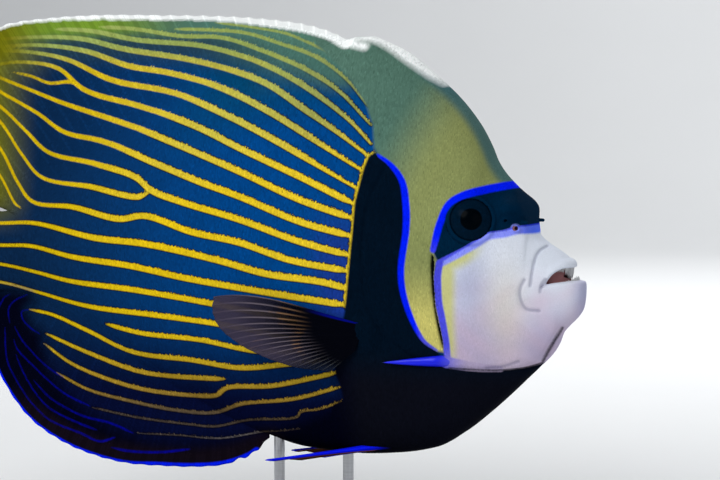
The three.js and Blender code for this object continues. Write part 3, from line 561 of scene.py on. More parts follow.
def ground_shade():
    near_edge = step(13, 5, FROM_DORSAL_EDGE) * step(88, 98, Z)
    dusk = step(7, -6, DARK) * np.maximum(step(-24, -36, Z), step(150, 160, S)) * (1 - AT_TAIL)
    return blended(
        "blue flank",
        # Painted shade: the ground darker towards the tail and towards the belly
        ("painted shade rear", step(130, 285, S)),
        ("painted shade belly", step(-4, -58, Z)),
        ("violet flank", step(126, 105, S) * step(46, 10, Z) * step(-32, -10, Z) * 0.6),
        # Painted shade along the top of the back, a little greener
        ("painted shade back", step(44, 6, DEPTH) * step(210, 150, S)),
        ("nape green", step(24, 2, DEPTH) * step(160, 112, S)),
        ("fin teal", IN_DORSAL * 0.85),
        ("fin green", IN_DORSAL * step(190, 135, S)),
        ("margin teal", near_edge * step(238, 180, S) * 0.8),
        ("margin green", near_edge * step(180, 238, S)),
        ("rear olive", np.maximum(DORSAL_CORNER, step(268, 298, S) * step(16, 40, Z))),
        ("anal black", dusk),
        ("anal brown", dusk * step(13, 5, FROM_ANAL_EDGE) * step(-50, -70, Z) * 0.6),
        ("tail gold", AT_TAIL),
    )


def gold_shade():
    return blended(
        "gold",
        ("front gold", step(200, 110, S)),
        ("rear gold", step(190, 275, S)),
        ("orange gold", step(-18, -58, Z)),
        ("pale gold", step(62, 22, DEPTH) * step(260, 130, S)),
        ("green gold", np.maximum(FADED * step(185, 125, S), IN_DORSAL * step(300, 270, S))),
        ("dull gold", step(56, 28, DEPTH) * step(150, 116, S) * 0.8),
        ("dim gold", step(-50, -66, Z)),
        ("rear olive", DORSAL_CORNER),
        ("tip grey", step(5, -2, DARK) * step(150, 160, S)),
        ("tail gold", AT_TAIL),
    )


def face_shade(pale):
    blotch = np.sin(0.31 * S + 1.7 * np.sin(0.17 * Z + 0.6)) * np.sin(0.26 * Z + np.sin(0.2 * S))
    rear_cheek = step(50, 54.5, S) * step(-38, -24, Z)
    under_mask = step(6, 1, pale) * step(38, 48, S)
    return blended(
        "white face",
        ("lilac face", step(8, -26, Z) * 0.9),
        ("pink face", (0.5 + 0.5 * blotch) * step(12, -4, Z) * 0.45),
        ("shaded face", patch(S, Z, 46, 2, 9, 15) * 0.6),
        ("cream face", patch(S, Z, 31, -9, 8, 20) * 0.6),
        ("yellow face", np.maximum(rear_cheek, under_mask) * 0.85),
        # Painted shade, bluish, on the front of the snout and chin
        ("painted shade snout", step(6, -2, S) * step(12, 0, Z) * 0.55),
    )


MAPS = {
    "stripe": stripe_map(),
    "blue": blue_map(),
    "pale": pale_map(),
    "dark": dark_map(),
    "band": zone_map(seen(BAND_ZONE)),
    "mask": zone_map(seen(MASK_ZONE)),
    "face": zone_map(seen(FACE_ZONE)),
    "lines": anal_map(),
    "margin": margin_map(),
    "ink": (1 - FADED) * (1 - step(14, 2, DEPTH) * step(104, 116, S)) * (1 - AT_TAIL),
    "ground": ground_shade(),
    "gold": gold_shade(),
    "vein": blended(
        "blue line",
        ("violet line", step(24, 10, Z) * step(70, 66, S)),
        ("lilac face", step(62, 46, S) * step(-24, -32, Z)),
    ),
    "rim": blended("pale line", ("bright rim", step(28, 21, S))),
    "gloom": blended(
        "shoulder black",
        ("breast black", step(-24, -46, Z) * step(150, 110, S)),
        ("anal black", step(-26, -38, Z) * step(94, 112, S)),
        ("navy", step(130, 190, S)),
    ),
    "olive": blended(
        "olive",
        ("teal band", step(52, 86, S + 0.5 * (Z - 70))),
        ("yellow band", step(14, -20, Z)),
        ("rim teal", step(6, 1, DEPTH) * step(90, 70, S) * 0.8),
    ),
}
MAPS["white"] = face_shade(MAPS["pale"])
PACKED = {
    "marks_a": ("stripe", "blue", "pale"),
    "marks_b": ("dark", "band", "mask"),
    "marks_c": ("face", "lines", "margin"),
}
SHADES = ("ground", "gold", "gloom", "olive", "white", "rim", "vein")


def marks_at(s, z):
    """Every mark's value and every shade at places, named as the meshes' attributes."""
    values = {name: np.stack([read(MAPS[k], s, z) for k in keys], -1) for name, keys in PACKED.items()}
    values["ink"] = read(MAPS["ink"], s, z)
    # A dark painted shadow in the gill gap and along the throat and cheek folds
    values["crease_shadow"] = read(CREASE_SHADOW_MAP, s, z)
    # Soft painted shade along the jaw, lobe, mouth and low cheek folds
    values["fold_shade"] = read(FOLD_SHADE_MAP, s, z)
    values.update({name: read(MAPS[name], s, z) for name in SHADES})
    return values


def add_object(name, data):
    """A new object of the scene."""
    made = bpy.data.objects.new(name, data)
    bpy.context.scene.collection.objects.link(made)
    return made


def fill(items, field, values, kind=np.float32):
    """Writes one field of all of a mesh's items."""
    items.foreach_set(field, np.asarray(values, kind).ravel())


def make(name, places, faces, material, values, replaced=(), soft=True):
    """A mesh through [s, y, z] places. Its faces, arrays of corner numbers, are turned outwards."""
    p = np.asarray(places, float).reshape(-1, 3)
    xyz = np.stack([SNOUT_X - p[:, 0], p[:, 1], MOUTH_Z + p[:, 2]], -1) * MM
    volume = 0
    for f in faces:
        for k in range(1, f.shape[1] - 1):
            volume += np.einsum("ij,ij->", xyz[f[:, 0]], np.cross(xyz[f[:, k]], xyz[f[:, k + 1]]))
    if volume < 0:
        faces = [f[:, ::-1] for f in faces]
    loops = np.concatenate([f.ravel() for f in faces])
    sizes = np.concatenate([np.full(len(f), f.shape[1]) for f in faces])
    mesh = bpy.data.meshes.new(name)
    mesh.vertices.add(len(xyz))
    fill(mesh.vertices, "co", xyz)
    mesh.loops.add(len(loops))
    fill(mesh.loops, "vertex_index", loops, np.int32)
    mesh.polygons.add(len(sizes))
    fill(mesh.polygons, "loop_start", np.concatenate([[0], np.cumsum(sizes)[:-1]]), np.int32)
    mesh.polygons.foreach_set("use_smooth", np.full(len(sizes), soft))
    mesh.update(calc_edges=True)
    for key, value in values.items():
        value = np.asarray(value, float)
        if value.ndim == 1:
            fill(mesh.attributes.new(key, "FLOAT", "POINT").data, "value", value)
        elif key in SHADES:
            opaque = np.concatenate([value, np.ones((len(value), 1))], 1)
            fill(mesh.attributes.new(key, "FLOAT_COLOR", "POINT").data, "color", opaque)
        else:
            fill(mesh.attributes.new(key, "FLOAT_VECTOR", "POINT").data, "vector", value)
    mesh.materials.append(material)
    made = add_object(name, mesh)
    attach(made, "root")
    if replaced:
        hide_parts(*replaced)
    return made


def groove(line, deep, wide):
    """How far the skin is sunk along a line, in mm, seen from the side."""
    return deep * np.exp(-((np.maximum(line_map([line], [0]), 0) / wide) ** 2))


def serrated(line, high=0.55, period=1.7):
    """The line with a saw's teeth that point backwards."""
    arc = np.arange(len(line)) * SPACING
    made = line.copy()
    made[:, 0] += high * (2 * np.abs((arc / period) % 1 - 0.5) - 0.5)
    return made


PLATE_EDGE = serrated(traced(GILL_EDGE))
PLATE_FRONT = [[57, -36], [36, -30], [36, 25], [58, 25]]
COVER_EDGE = [[84, 52], [90, 40], [93, 24], [93.5, 6], [90, -10], [80, -25], [66, -34]]
GAP_MAP = zone_map(np.vstack([PLATE_EDGE, traced(GILL_GAP)]))


def relief_map():
    """The cheek plate stands up at its toothed edge, and the gap behind it and the folds are sunk."""
    plate = zone_map(np.vstack([PLATE_EDGE, PLATE_FRONT]))
    raised = (plate < 0) * np.exp(-np.maximum(line_map([PLATE_EDGE], [0], 24), 0) / 5)
    sunk = 0.9 * step(0.5, -0.7, GAP_MAP) - 0.8 * raised
    for pixels, deep, wide in FOLDS.values():
        sunk = sunk + groove(traced(pixels), deep, wide)
    return sunk + groove(smooth(COVER_EDGE), 0.7, 0.9)


RELIEF = relief_map()
# Soft painted shade along the jaw, lobe, mouth and low cheek folds, over their grooves
FOLD_SHADE_MAP = sum(groove(traced(FOLDS[name][0]), 1, 0.75) for name in SHADED_FOLDS)
# Painted shadow: a dark line in the gill gap behind the cheek plate and along the throat and cheek folds
CREASE_SHADOW_MAP = np.minimum(GAP_MAP, line_map([traced(FOLDS[name][0]) for name in SHADOW_FOLDS], [0.4, 0.4]))


# The skin is where a distance, worked out on a grid of s, y and z, is nought. The head's grid is finer.
AXES = (
    np.concatenate([
        np.arange(-5, 34, 0.42), np.arange(34, 66, 0.55), np.arange(66, 112, 0.85),
        np.arange(112, 307, 1.25),
    ]),
    np.arange(0, 35.5, 0.55),
    np.concatenate([np.arange(-84, -40, 0.65), np.arange(-40, 42, 0.48), np.arange(42, 117, 0.65)]),
)


def window(low, high):
    """The part of the grid between two corners: its slices and its coordinates."""
    cut = tuple(slice(*np.searchsorted(a, [l, h])) for a, l, h in zip(AXES, low, high))
    return cut, np.ix_(*[a[c] for a, c in zip(AXES, cut)])


def join(a, b, round_):
    """Two bodies' distances as one body's, with a fillet where they meet."""
    h = np.clip(0.5 + 0.5 * (b - a) / round_, 0, 1)
    return b + (a - b) * h - round_ * h * (1 - h)


def carve(a, b, round_):
    """The distance of body a with body b taken out of it."""
    return -join(-a, b, round_)


def about(place, centre, axis):
    """How far places lie along an axis through a centre, and the square of how far they are from it."""
    away = [p - c for p, c in zip(place, centre)]
    up = sum(a * d for a, d in zip(away, axis))
    return up, np.maximum(sum(a * a for a in away) - up * up, 0)


def lens(place, centre, axis, radius, depth):
    """The distance of an ellipsoid whose short axis lies along a direction."""
    up, flat = about(place, centre, axis)
    size = np.sqrt(flat / radius**2 + (up / depth) ** 2)
    slope = np.sqrt(flat / radius**4 + up**2 / depth**4)
    return (size - 1) * size / np.maximum(slope, 1e-4)


def lip_place(turn, front, line, inset=0):
    """A place along a lip, at a turn from -90 degrees at the right corner to 90 at the left one."""
    s = MOUTH["corner"] - (MOUTH["corner"] - front - inset) * np.cos(turn)
    return np.stack([s, (MOUTH["half_width"] - inset) * np.sin(turn), line(s)], -1)


LIPS = (
    {
        "front": MOUTH["upper_front"], "line": upper_line, "thick": 1.4, "lift": 0.9, "side": 1,
        "teeth": 7.2, "points": -1,
    },
    {
        "front": MOUTH["lower_front"], "line": lower_line, "thick": 1.9, "lift": -0.9, "side": -1,
        "teeth": 3.8, "points": 1,
    },
)
LINING = {"long": 10.2, "wide": 8.8, "above": 3}
THROAT = {"place": (11.6, 0, 5.4), "radius": 5.4, "deep": 1.9}
EYE_OUT = outward(EYE["s"], EYE["z"])
EYE_SURFACE = on_flank(EYE["s"], EYE["z"])
EYE_CENTRE = EYE_SURFACE + EYE_OUT * (EYE["proud"] - EYE["depth"])
# Nostrils: s, z, the hole's radius, how thick its rim is and how far the rim stands up
NOSTRILS = ((27.6, 26.4, 1.0, 0.5, 1.2), (31.4, 29.8, 0.8, 0.35, 0.2))
NOSE_FLAP = {"s": 25.2, "z": 28.9, "long": 1.1, "forward": 0.9, "radius": 0.8}
BODY_ENDS = (0.3, 304.8)
FARTHEST = 12


def flesh_distance():
    """The whole body before its mouth, eyes and folds: its distance over the half grid."""
    s, y, z = AXES
    ss, zz = np.meshgrid(s, z, indexing="ij")
    share, full = section(ss, zz)
    base = half_width(ss) * np.maximum(0, 1 - share**full) ** (1 / full)
    bump = np.minimum(1, base / 6) * swelling(ss, zz)
    wide = half_width(ss)
    flat = np.maximum(0, y[None, :, None] - bump[:, None, :]) / wide[:, None, :]
    power = full[:, None, :].astype(np.float32)
    form = ((share**full)[:, None, :] + flat.astype(np.float32) ** power) ** (1 / power) - 1
    slope = np.sqrt(sum(g**2 for g in np.gradient(form, s, y, z)))
    form = np.clip(form / np.maximum(slope, 1e-3), -FARTHEST, FARTHEST)
    form = -join(-form, s[:, None, None] - BODY_ENDS[0], 1.2)
    return np.maximum(form, s[:, None, None] - BODY_ENDS[1])


def add_lips(field):
    """The gape, the mouth's lining and throat, and a rounded lip on each jaw."""
    cut, place = window((-5, 0, -14), (22, 17, 18))
    s, y, z = place
    top, low = upper_line(s), lower_line(s)
    gape = np.maximum(np.maximum(low - z, z - top), s - MOUTH["corner"])
    made = carve(field[cut], gape + 0 * y, 0.8)
    lining = (np.hypot((s - MOUTH["corner"]) / LINING["long"], y / LINING["wide"]) - 1) * 8 + 0 * z
    lining = np.maximum(lining, np.maximum(low - LINING["above"] - z, z - top - LINING["above"]))
    made = join(made, lining, 1.0)
    made = carve(made, lens(place, THROAT["place"], (0, 0, 1), THROAT["radius"], THROAT["deep"]), 0.6)
    for lip in LIPS:
        nearest = np.full(made.shape, 9.0)
        for turn in np.radians(np.linspace(0, 88, 45)):
            centre = lip_place(turn, lip["front"], lip["line"])
            radius = lip["thick"] * (0.55 + 0.45 * math.cos(turn))
            centre[:2] += 0.8 * lip["thick"] * np.array([math.cos(turn), -math.sin(turn)])
            centre[2] += lip["lift"] * radius
            away = np.sqrt((s - centre[0]) ** 2 + (y - centre[1]) ** 2 + (z - centre[2]) ** 2)
            nearest = np.minimum(nearest, away - radius)
        own_side = lip["side"] * ((top + low) / 2 - z) + 0.1
        made = join(made, np.maximum(nearest, own_side), 1.9)
    field[cut] = made


def add_eye(field):
    """The rim round the eye and the socket behind its ball."""
    reach = np.array([15, 14, 15])
    cut, place = window(EYE_SURFACE - reach, EYE_SURFACE + reach)
    up, flat = about(place, EYE_SURFACE, EYE_OUT)
    rim = np.hypot(np.sqrt(flat) - EYE["ring"], up + 0.35) - EYE["rim"]
    socket = lens(place, EYE_CENTRE, EYE_OUT, EYE["radius"] + 0.1, EYE["depth"] + 0.1)
    field[cut] = carve(join(field[cut], rim, 1.6), socket, 0.25)


def add_nostrils(field):
    for s, z, radius, rim, high in NOSTRILS:
        out, surface = outward(s, z), on_flank(s, z)
        cut, place = window(surface - 4, surface + 4)
        up, flat = about(place, surface, out)
        ring = np.hypot(np.sqrt(flat) - radius - 0.2, up - np.clip(up, 0.1, high)) - rim
        field[cut] = carve(join(field[cut], ring, 0.7), lens(place, surface, out, radius, 2.2), 0.2)


def add_nose_flap(field):
    """The small flap of skin in front of each nostril."""
    foot = on_flank(NOSE_FLAP["s"], NOSE_FLAP["z"])
    run = NOSE_FLAP["long"] * outward(foot[0], foot[2]) - np.array([NOSE_FLAP["forward"], 0, 0])
    cut, place = window(foot - 5, foot + 5)
    away = [p - f for p, f in zip(place, foot)]
    share = np.clip(sum(a * r for a, r in zip(away, run)) / (run @ run), 0, 1)
    near = np.sqrt(sum((a - share * r) ** 2 for a, r in zip(away, run)))
    field[cut] = join(field[cut], near - NOSE_FLAP["radius"], 0.5)


def add_arm(field):
    """The fleshy base of the breast fin."""
    base = on_flank(ARM["s"], ARM["z"], ARM["sunk"])
    cut, place = window(base - 14, base + 14)
    bulge = lens(place, base, outward(ARM["s"], ARM["z"]), ARM["radius"], ARM["depth"])
    field[cut] = join(field[cut], bulge, 1.6)


def body_field():
    field = flesh_distance()
    s, y, z = AXES
    ss, zz = np.meshgrid(s, z, indexing="ij")
    sides = step(1.5, 4, y)[None, :, None]
    field += (read(RELIEF, ss, zz)[:, None, :] * sides).astype(np.float32)
    for add in (add_lips, add_eye, add_nostrils, add_nose_flap, add_arm):
        add(field)
    return field


def surface_net(field, axes):
    """The surface where the field is nought, as vertices and quads."""
    inside = field < 0
    shape = np.array(field.shape)
    count = np.zeros(shape - 1, np.int8)
    for corner in itertools.product((0, 1), repeat=3):
        count += inside[tuple(slice(c, n - 1 + c) for c, n in zip(corner, shape))]
    cells = np.argwhere((count > 0) & (count < 8))
    number = np.full(count.shape, -1, np.int32)
    number[tuple(cells.T)] = np.arange(len(cells))
    total, hits = np.zeros((len(cells), 3)), np.zeros(len(cells))
    quads = []
    for axis in range(3):
        others = [k for k in range(3) if k != axis]
        for corner in itertools.product((0, 1), repeat=2):
            low = cells.copy()
            low[:, others] += corner
            high = low.copy()
            high[:, axis] += 1
            a, b = field[tuple(low.T)], field[tuple(high.T)]
            hit = (a < 0) != (b < 0)
            share = a[hit] / (a[hit] - b[hit])
            for k in range(3):
                start, end = axes[k][low[hit, k]], axes[k][high[hit, k]]
                total[hit, k] += start + (end - start) * share
            hits += hit
        first, last = [slice(None)] * 3, [slice(None)] * 3
        first[axis], last[axis] = slice(0, -1), slice(1, None)
        edges = np.argwhere(inside[tuple(first)] != inside[tuple(last)])
        b, c = (axis + 1) % 3, (axis + 2) % 3
        edges = edges[(edges[:, b] > 0) & (edges[:, c] > 0)]
        edges = edges[(edges[:, b] < shape[b] - 1) & (edges[:, c] < shape[c] - 1)]
        corners = []
        for move_b, move_c in ((-1, -1), (0, -1), (0, 0), (-1, 0)):
            cell = edges.copy()
            cell[:, b] += move_b
            cell[:, c] += move_c
            corners.append(number[tuple(cell.T)])
        quad = np.stack(corners, 1)
        turned = ~inside[tuple(edges.T)]
        quad[turned] = quad[turned][:, ::-1]
        quads.append(quad)
    return total / hits[:, None], np.concatenate(quads)


def sample(field, places):
    """The half field at [s, y, z] places on either side."""
    at, share = [], []
    for k, axis in enumerate(AXES):
        value = np.abs(places[:, k]) if k == 1 else places[:, k]
        i = np.clip(np.searchsorted(axis, value) - 1, 0, len(axis) - 2)
        at.append(i)
        share.append(np.clip((value - axis[i]) / (axis[i + 1] - axis[i]), 0, 1))
    total = 0
    for corner in itertools.product((0, 1), repeat=3):
        weight = 1
        for c, t in zip(corner, share):
            weight = weight * (t if c else 1 - t)
        total = total + weight * field[tuple(i + c for i, c in zip(at, corner))]
    return total


def slope_at(field, places, reach=0.5):
    """The field's slope, outwards, at places."""
    slope = np.zeros_like(places)
    for k in range(3):
        move = np.zeros(3)
        move[k] = reach
        slope[:, k] = sample(field, places + move) - sample(field, places - move)
    return slope / np.maximum(np.linalg.norm(slope, axis=1), 1e-6)[:, None]


def settle(field, places):
    """Places moved onto the skin, with its outward direction there."""
    for _ in range(3):
        places = places - slope_at(field, places) * np.clip(sample(field, places), -1.5, 1.5)[:, None]
    return places, slope_at(field, places)


FLESH_NODES = (
    "head", "upper_jaw", "lower_jaw", "gill_cover_right", "gill_cover_left", "trunk", "tail_root",
)
BODY = body_field()


def inner_mouth(places):
    """1 inside the mouth, behind the lips, and 0 elsewhere."""
    s, y, z = places.T
    between = (z < upper_line(s) + 0.3) & (z > lower_line(s) + 0.1)
    behind_lips = np.hypot((s - MOUTH["corner"]) / 11.4, y / 10.4) < 1
    return (between & behind_lips).astype(float)


def make_skin(material):
    field = np.concatenate([BODY[:, :0:-1], BODY], 1)
    axes = (AXES[0], np.concatenate([-AXES[1][:0:-1], AXES[1]]), AXES[2])
    places, quads = surface_net(field, axes)
    values = marks_at(places[:, 0], places[:, 2])
    s, z, radius = NOSTRILS[0][:3]
    from_nostril = np.hypot(places[:, 0] - s, places[:, 2] - z)
    values["gums"] = np.maximum(inner_mouth(places), from_nostril < radius)
    pale = values["marks_a"][:, 2]
    values["marks_a"][:, 2] = np.minimum(pale, np.abs(from_nostril - radius - 0.5) - 0.3)
    return make("skin", places, [quads], material, values, FLESH_NODES)


def closed_sheet(upper, under):
    """The places and faces of a closed body between two grids of places."""
    n, m = upper.shape[:2]
    count = n * m
    index = np.arange(count).reshape(n, m)
    a, b, c, d = index[:-1, :-1], index[1:, :-1], index[1:, 1:], index[:-1, 1:]
    face = np.stack([a, b, c, d], -1).reshape(-1, 4)
    border = np.concatenate([index[:, 0], index[-1, 1:], index[-2::-1, -1], index[0, -2::-1]])
    start, end = border[:-1], border[1:]
    wall = np.stack([end, start, start + count, end + count], -1)
    places = np.concatenate([upper.reshape(-1, 3), under.reshape(-1, 3)])
    return places, [face, face[:, ::-1] + count, wall]


# Thickness of a fin's membrane and rays in mm, and how far a fin's root lies under the outline: in the
# solids, and how much farther here, so that skin and fin run into each other
MEMBRANE = 0.36
RAY = 0.26
SINK = 5.0
DEEPER = 7.0
MIDDLE_ROWS = 72
PAIRED_ROWS = 60


def ray_ridges(u, v, rays, spines, spacing):
    """How far a ray stands up at u and v, from 0 to 1. Soft rays fork twice towards the margin."""
    place = u * (rays - 1)
    away = np.abs(place - np.round(place))
    soft = np.round(place) >= spines
    first = 0.17 * step(0.3, 0.62, v) * soft
    second = 0.075 * step(0.62, 0.86, v) * soft
    wide = (0.42 + 0.25 * (1 - v)) / spacing
    high = np.zeros_like(away)
    for fork in (first + second, first - second, -first + second, -first - second):
        high = np.maximum(high, np.exp(-(((away - fork) / wide) ** 2)))
    return high


def fin_grid(rays, columns, rows):
    """u along a fin's root and v out to its margin, and 1 on the rays down to 0 between them."""
    u, v = np.linspace(0, 1, (rays - 1) * columns + 1), np.linspace(0, 1, rows)
    u_, v_ = np.meshgrid(u, v, indexing="ij")
    return u, u_, v_, 0.5 + 0.5 * np.cos(2 * np.pi * u_ * (rays - 1))


def ray_spacing(places, columns, least):
    """How far apart the rays are, in mm."""
    return np.maximum(np.linalg.norm(np.gradient(places, axis=0), axis=-1) * columns, least)


def middle_fin(name, spec, root, edge, fall, thick, notch, drift, material, columns=14):
    """A fin in the middle plane. It gives the places of its two sides, for its scales."""
    u, u_, v_, crest = fin_grid(spec["rays"], columns, MIDDLE_ROWS)
    base, tip = root(u), edge(u)
    run = tip - base
    long = np.maximum(np.linalg.norm(run, axis=1), 1e-6)[:, None]
    deep = base - run / long * DEEPER
    out = np.clip((v_ * (long + DEEPER) - DEEPER) / long, 0, 1)
    reach = v_ * (1 - notch(u_) * (1 - crest) * out)
    sz = deep[:, None] + (tip - deep)[:, None] * reach[..., None]
    ridge = ray_ridges(u_, out, spec["rays"], spec["spines"], ray_spacing(sz, columns, 1.5))
    blade = MEMBRANE + (thick - MEMBRANE) * (1 - out) ** fall
    body = flank(sz[..., 0], sz[..., 1])
    blade = blade + RAY * ridge * (1 - 0.4 * out) * step(5, 0, body)
    blade = blade * (1 - 0.8 * step(0.985, 1, v_))
    half = (body**3 + blade**3) ** (1 / 3) - 0.8 * step(3, 9, body)
    centre = drift(u_, out)
    upper, under = (np.stack([sz[..., 0], centre + y, sz[..., 1]], -1) for y in (half, -half))
    places, faces = closed_sheet(upper, under)
    values = marks_at(places[:, 0], places[:, 2])
    values["ray"] = np.tile((ridge * step(0, 0.3, out)).ravel(), 2)
    # Painted light near the root: lighter on each ray's ridge, painted shade between the rays
    values["tone_and_light"] = np.tile(((2.6 * ridge - 1.2) * step(0, 0.25, out)).ravel(), 2)
    make(name, places, faces, material, values, (name,))
    return {"left": upper, "right": under, "out": out}


def dorsal_root(u):
    s = DORSAL["front"] + (DORSAL["rear"] - DORSAL["front"]) * u
    return np.stack([s, back(s) - SINK], -1)


def anal_root(u):
    s = ANAL["front"] + (ANAL["rear"] - ANAL["front"]) * u
    return np.stack([s, belly(s) + SINK], -1)


def tail_root(u):
    return np.stack([np.full_like(u, TAIL["root"]), TAIL["high"] + (TAIL["low"] - TAIL["high"]) * u], -1)


def make_middle_fins(material):
    """The dorsal, anal and tail fins, by name, with their places for the scales."""
    dorsal = middle_fin(
        "dorsal_fin", DORSAL, dorsal_root, lambda u: DORSAL_EDGE(DORSAL_FAN(u)), 2.2, 3.2,
        lambda u: np.where(u < DORSAL["spines"] / DORSAL["rays"], 0.022 * (1 - u), 0.006),
        lambda u, v: 1.6 * v * v * np.sin(9 * u) * u, material,
    )
    anal = middle_fin(
        "anal_fin", ANAL, anal_root, lambda u: ANAL_EDGE(ANAL_FAN(u)), 2, 3,
        lambda u: np.where(u < 0.14, 0.04, 0.006),
        lambda u, v: 1.3 * v * v * np.sin(7 * u + 1) * u, material, columns=16,
    )
    tail = middle_fin(
        "tail_fin", TAIL, tail_root, TAIL_EDGE, 1.6, 2.5,
        lambda u: 0 * u + 0.01, lambda u, v: 1.5 * v * v * np.sin(5 * u), material, columns=16,
    )
    return {"dorsal_fin": dorsal, "anal_fin": anal, "tail_fin": tail}


def paired_fin(name, side, spec, root, edge, normal, half, drift, bow, material):
    """A fin at the body's side, with its own shading by u along the root and v out to the margin."""
    u, u_, v_, crest = fin_grid(spec["rays"], spec["columns"], PAIRED_ROWS)
    base, tip = root(u), edge(u)
    reach = v_ * (1 - 0.005 * (1 - crest) * v_)
    centre = base[:, None] + (tip - base)[:, None] * reach[..., None]
    centre = centre + normal * drift(u_, v_)[..., None]
    centre[..., 2] += bow(u_, v_)
    ridge = ray_ridges(u_, v_, spec["rays"], spec["rays"], ray_spacing(centre, spec["columns"], 0.8))
    thick = half(v_) + 0.13 * ridge * (1 - 0.4 * v_) + 0.3 * np.exp(-((u_ / 0.02) ** 2)) * (1 - v_)
    thick = (thick * (1 - 0.7 * step(0.98, 1, v_)))[..., None]
    places, faces = closed_sheet(centre + normal * thick, centre - normal * thick)
    places[:, 1] *= side
    shading = {"fin_u": u_, "fin_v": v_, "ray": ridge}
    values = {key: np.tile(value.ravel(), 2) for key, value in shading.items()}
    make(name, places, faces, material, values, (name,))


BREAST = {
    "front": (92.5, -16.5), "rear": (97.5, -28.5), "flare": 15, "sunk": 1,
    "rays": 19, "columns": 12, "slot": "breast_fin",
}
BREAST_EDGE = margin([
    [158, -4.6], [158.6, -10.5], [156.5, -17], [149.5, -24], [137, -31], [122, -36], [108, -37.5],
])
BELLY_FIN = {
    "root_outer": [83, 9, -71.5],
    "root_inner": [89, 4.6, -73.5],
    "tip_outer": [146, 16, -81.5],
    "tip_inner": [126, 8.4, -81],
    "rays": 7,
    "columns": 18,
    "slot": "belly_fin",
}


def make_breast_fin(name, side, material):
    flare = math.tan(math.radians(BREAST["flare"]))
    root_y = float(flank(ARM["s"], ARM["z"])) - BREAST["sunk"]
    front, rear = np.array(BREAST["front"]), np.array(BREAST["rear"])

    def lift(sz):
        return np.stack([sz[..., 0], root_y + (sz[..., 0] - front[0]) * flare, sz[..., 1]], -1)

    paired_fin(
        name, side, BREAST,
        lambda u: lift(front + (rear - front) * u[:, None]),
        lambda u: lift(BREAST_EDGE(u)),
        unit(np.array([-flare, 1, 0])),
        lambda v: 0.24 + 1.2 * (1 - v) ** 3,
        lambda u, v: 2.4 * v * v - 1.5 * v * u + 0.35 * v * np.sin(34 * u) * (1 - u),
        lambda u, v: 24 * v * v * (1 - v) * (1 - u) ** 1.5,
        material,
    )


def make_belly_fin(name, side, material):
    outer_root, inner_root, outer_tip, inner_tip = (
        np.array(BELLY_FIN[key]) for key in ("root_outer", "root_inner", "tip_outer", "tip_inner")
    )
    run = outer_tip - outer_root

    def tip(u):
        line = outer_tip + (inner_tip - outer_tip) * u[:, None]
        return line - unit(run) * (9 * (u - 0.2) ** 2)[:, None]

    paired_fin(
        name, side, BELLY_FIN,
        lambda u: outer_root + (inner_root - outer_root) * u[:, None],
        tip,
        unit(np.cross(run, inner_root - outer_root)),
        lambda v: 0.28 + 1.4 * (1 - v) ** 2.4,
        lambda u, v: 0.4 * v * np.sin(12 * u),
        lambda u, v: 0 * u,
        material,
    )


SPINE = {"s": 50, "z": -31.4, "long": 34.5, "falls": 1.6, "out": 2.6, "thick": 1.8, "tall": 2.7}


def around(rows, count):
    """Turns right round an axis, and shares of the way along it, as a grid."""
    return np.meshgrid(
        np.linspace(0, 1, rows), np.linspace(0, 2 * np.pi, count, endpoint=False), indexing="ij"
    )


def make_spine(name, side, material):
    """The blade-like spine at the lower corner of the cheek."""
    v, angle = around(44, 28)
    s, z = SPINE["s"] + SPINE["long"] * v, SPINE["z"] - SPINE["falls"] * v
    shrink = 1.03 - v**1.6
    edge = np.sign(np.cos(angle)) * np.abs(np.cos(angle)) ** 1.25
    buried = 3.2 * step(0.34, 0, v)
    y = flank(s, z) + 0.1 + SPINE["out"] * v - buried + SPINE["thick"] * shrink * edge
    body, faces = tube_ends(np.stack([s, side * y, z + SPINE["tall"] * shrink * np.sin(angle)], -1))
    values = {"along": np.append(v.ravel(), [0, 1])}
    make(name, body, faces, material, values, (name,))


def tube_ends(rings):
    """The places and faces of a closed tube through rings, with a point at each end."""
    n, m = rings.shape[:2]
    index = np.arange(n * m).reshape(n, m)
    after = np.roll(index, -1, axis=1)
    sides = np.stack([index[:-1], after[:-1], after[1:], index[1:]], -1).reshape(-1, 4)
    low = np.stack([after[0], index[0], np.full(m, n * m)], -1)
    high = np.stack([index[-1], after[-1], np.full(m, n * m + 1)], -1)
    places = np.concatenate([rings.reshape(-1, 3), rings[:1].mean(1), rings[-1:].mean(1)])
    return places, [sides, low, high]


EYE_POLE = 0.02
PUPIL_BULGE = {"high": 0.5, "radius": 5.2}


def make_eye(name, side, material):
    """The ball of the eye, a little bulged over its pupil. It carries the distance from its axis."""
    share, turn = around(64, 96)
    lift = EYE_POLE + (np.pi - 2 * EYE_POLE) * share
    first = unit(np.cross(EYE_OUT, [0, 0, 1]))
    second = np.cross(EYE_OUT, first)
    flat = EYE["radius"] * np.sin(lift)
    up = EYE["depth"] * np.cos(lift)
    up = up + PUPIL_BULGE["high"] * np.exp(-((flat / PUPIL_BULGE["radius"]) ** 4)) * (up > 0)
    moves = ((first, flat * np.cos(turn)), (second, flat * np.sin(turn)), (EYE_OUT, up))
    places = EYE_CENTRE + sum(direction * size[..., None] for direction, size in moves)
    places[..., 1] *= side
    body, faces = tube_ends(places)
    make(name, body, faces, material, {"from_axis": np.append(flat.ravel(), [0, 0])}, (name,))


TEETH = {
    "rows": 3, "first_row": 40, "fewer": 3, "turn": 66, "inset": 0.9, "apart": 0.55,
    "least": 2, "shorter": 0.3, "reach": 0.6, "radius": 0.3, "rooted": 1.6,
}


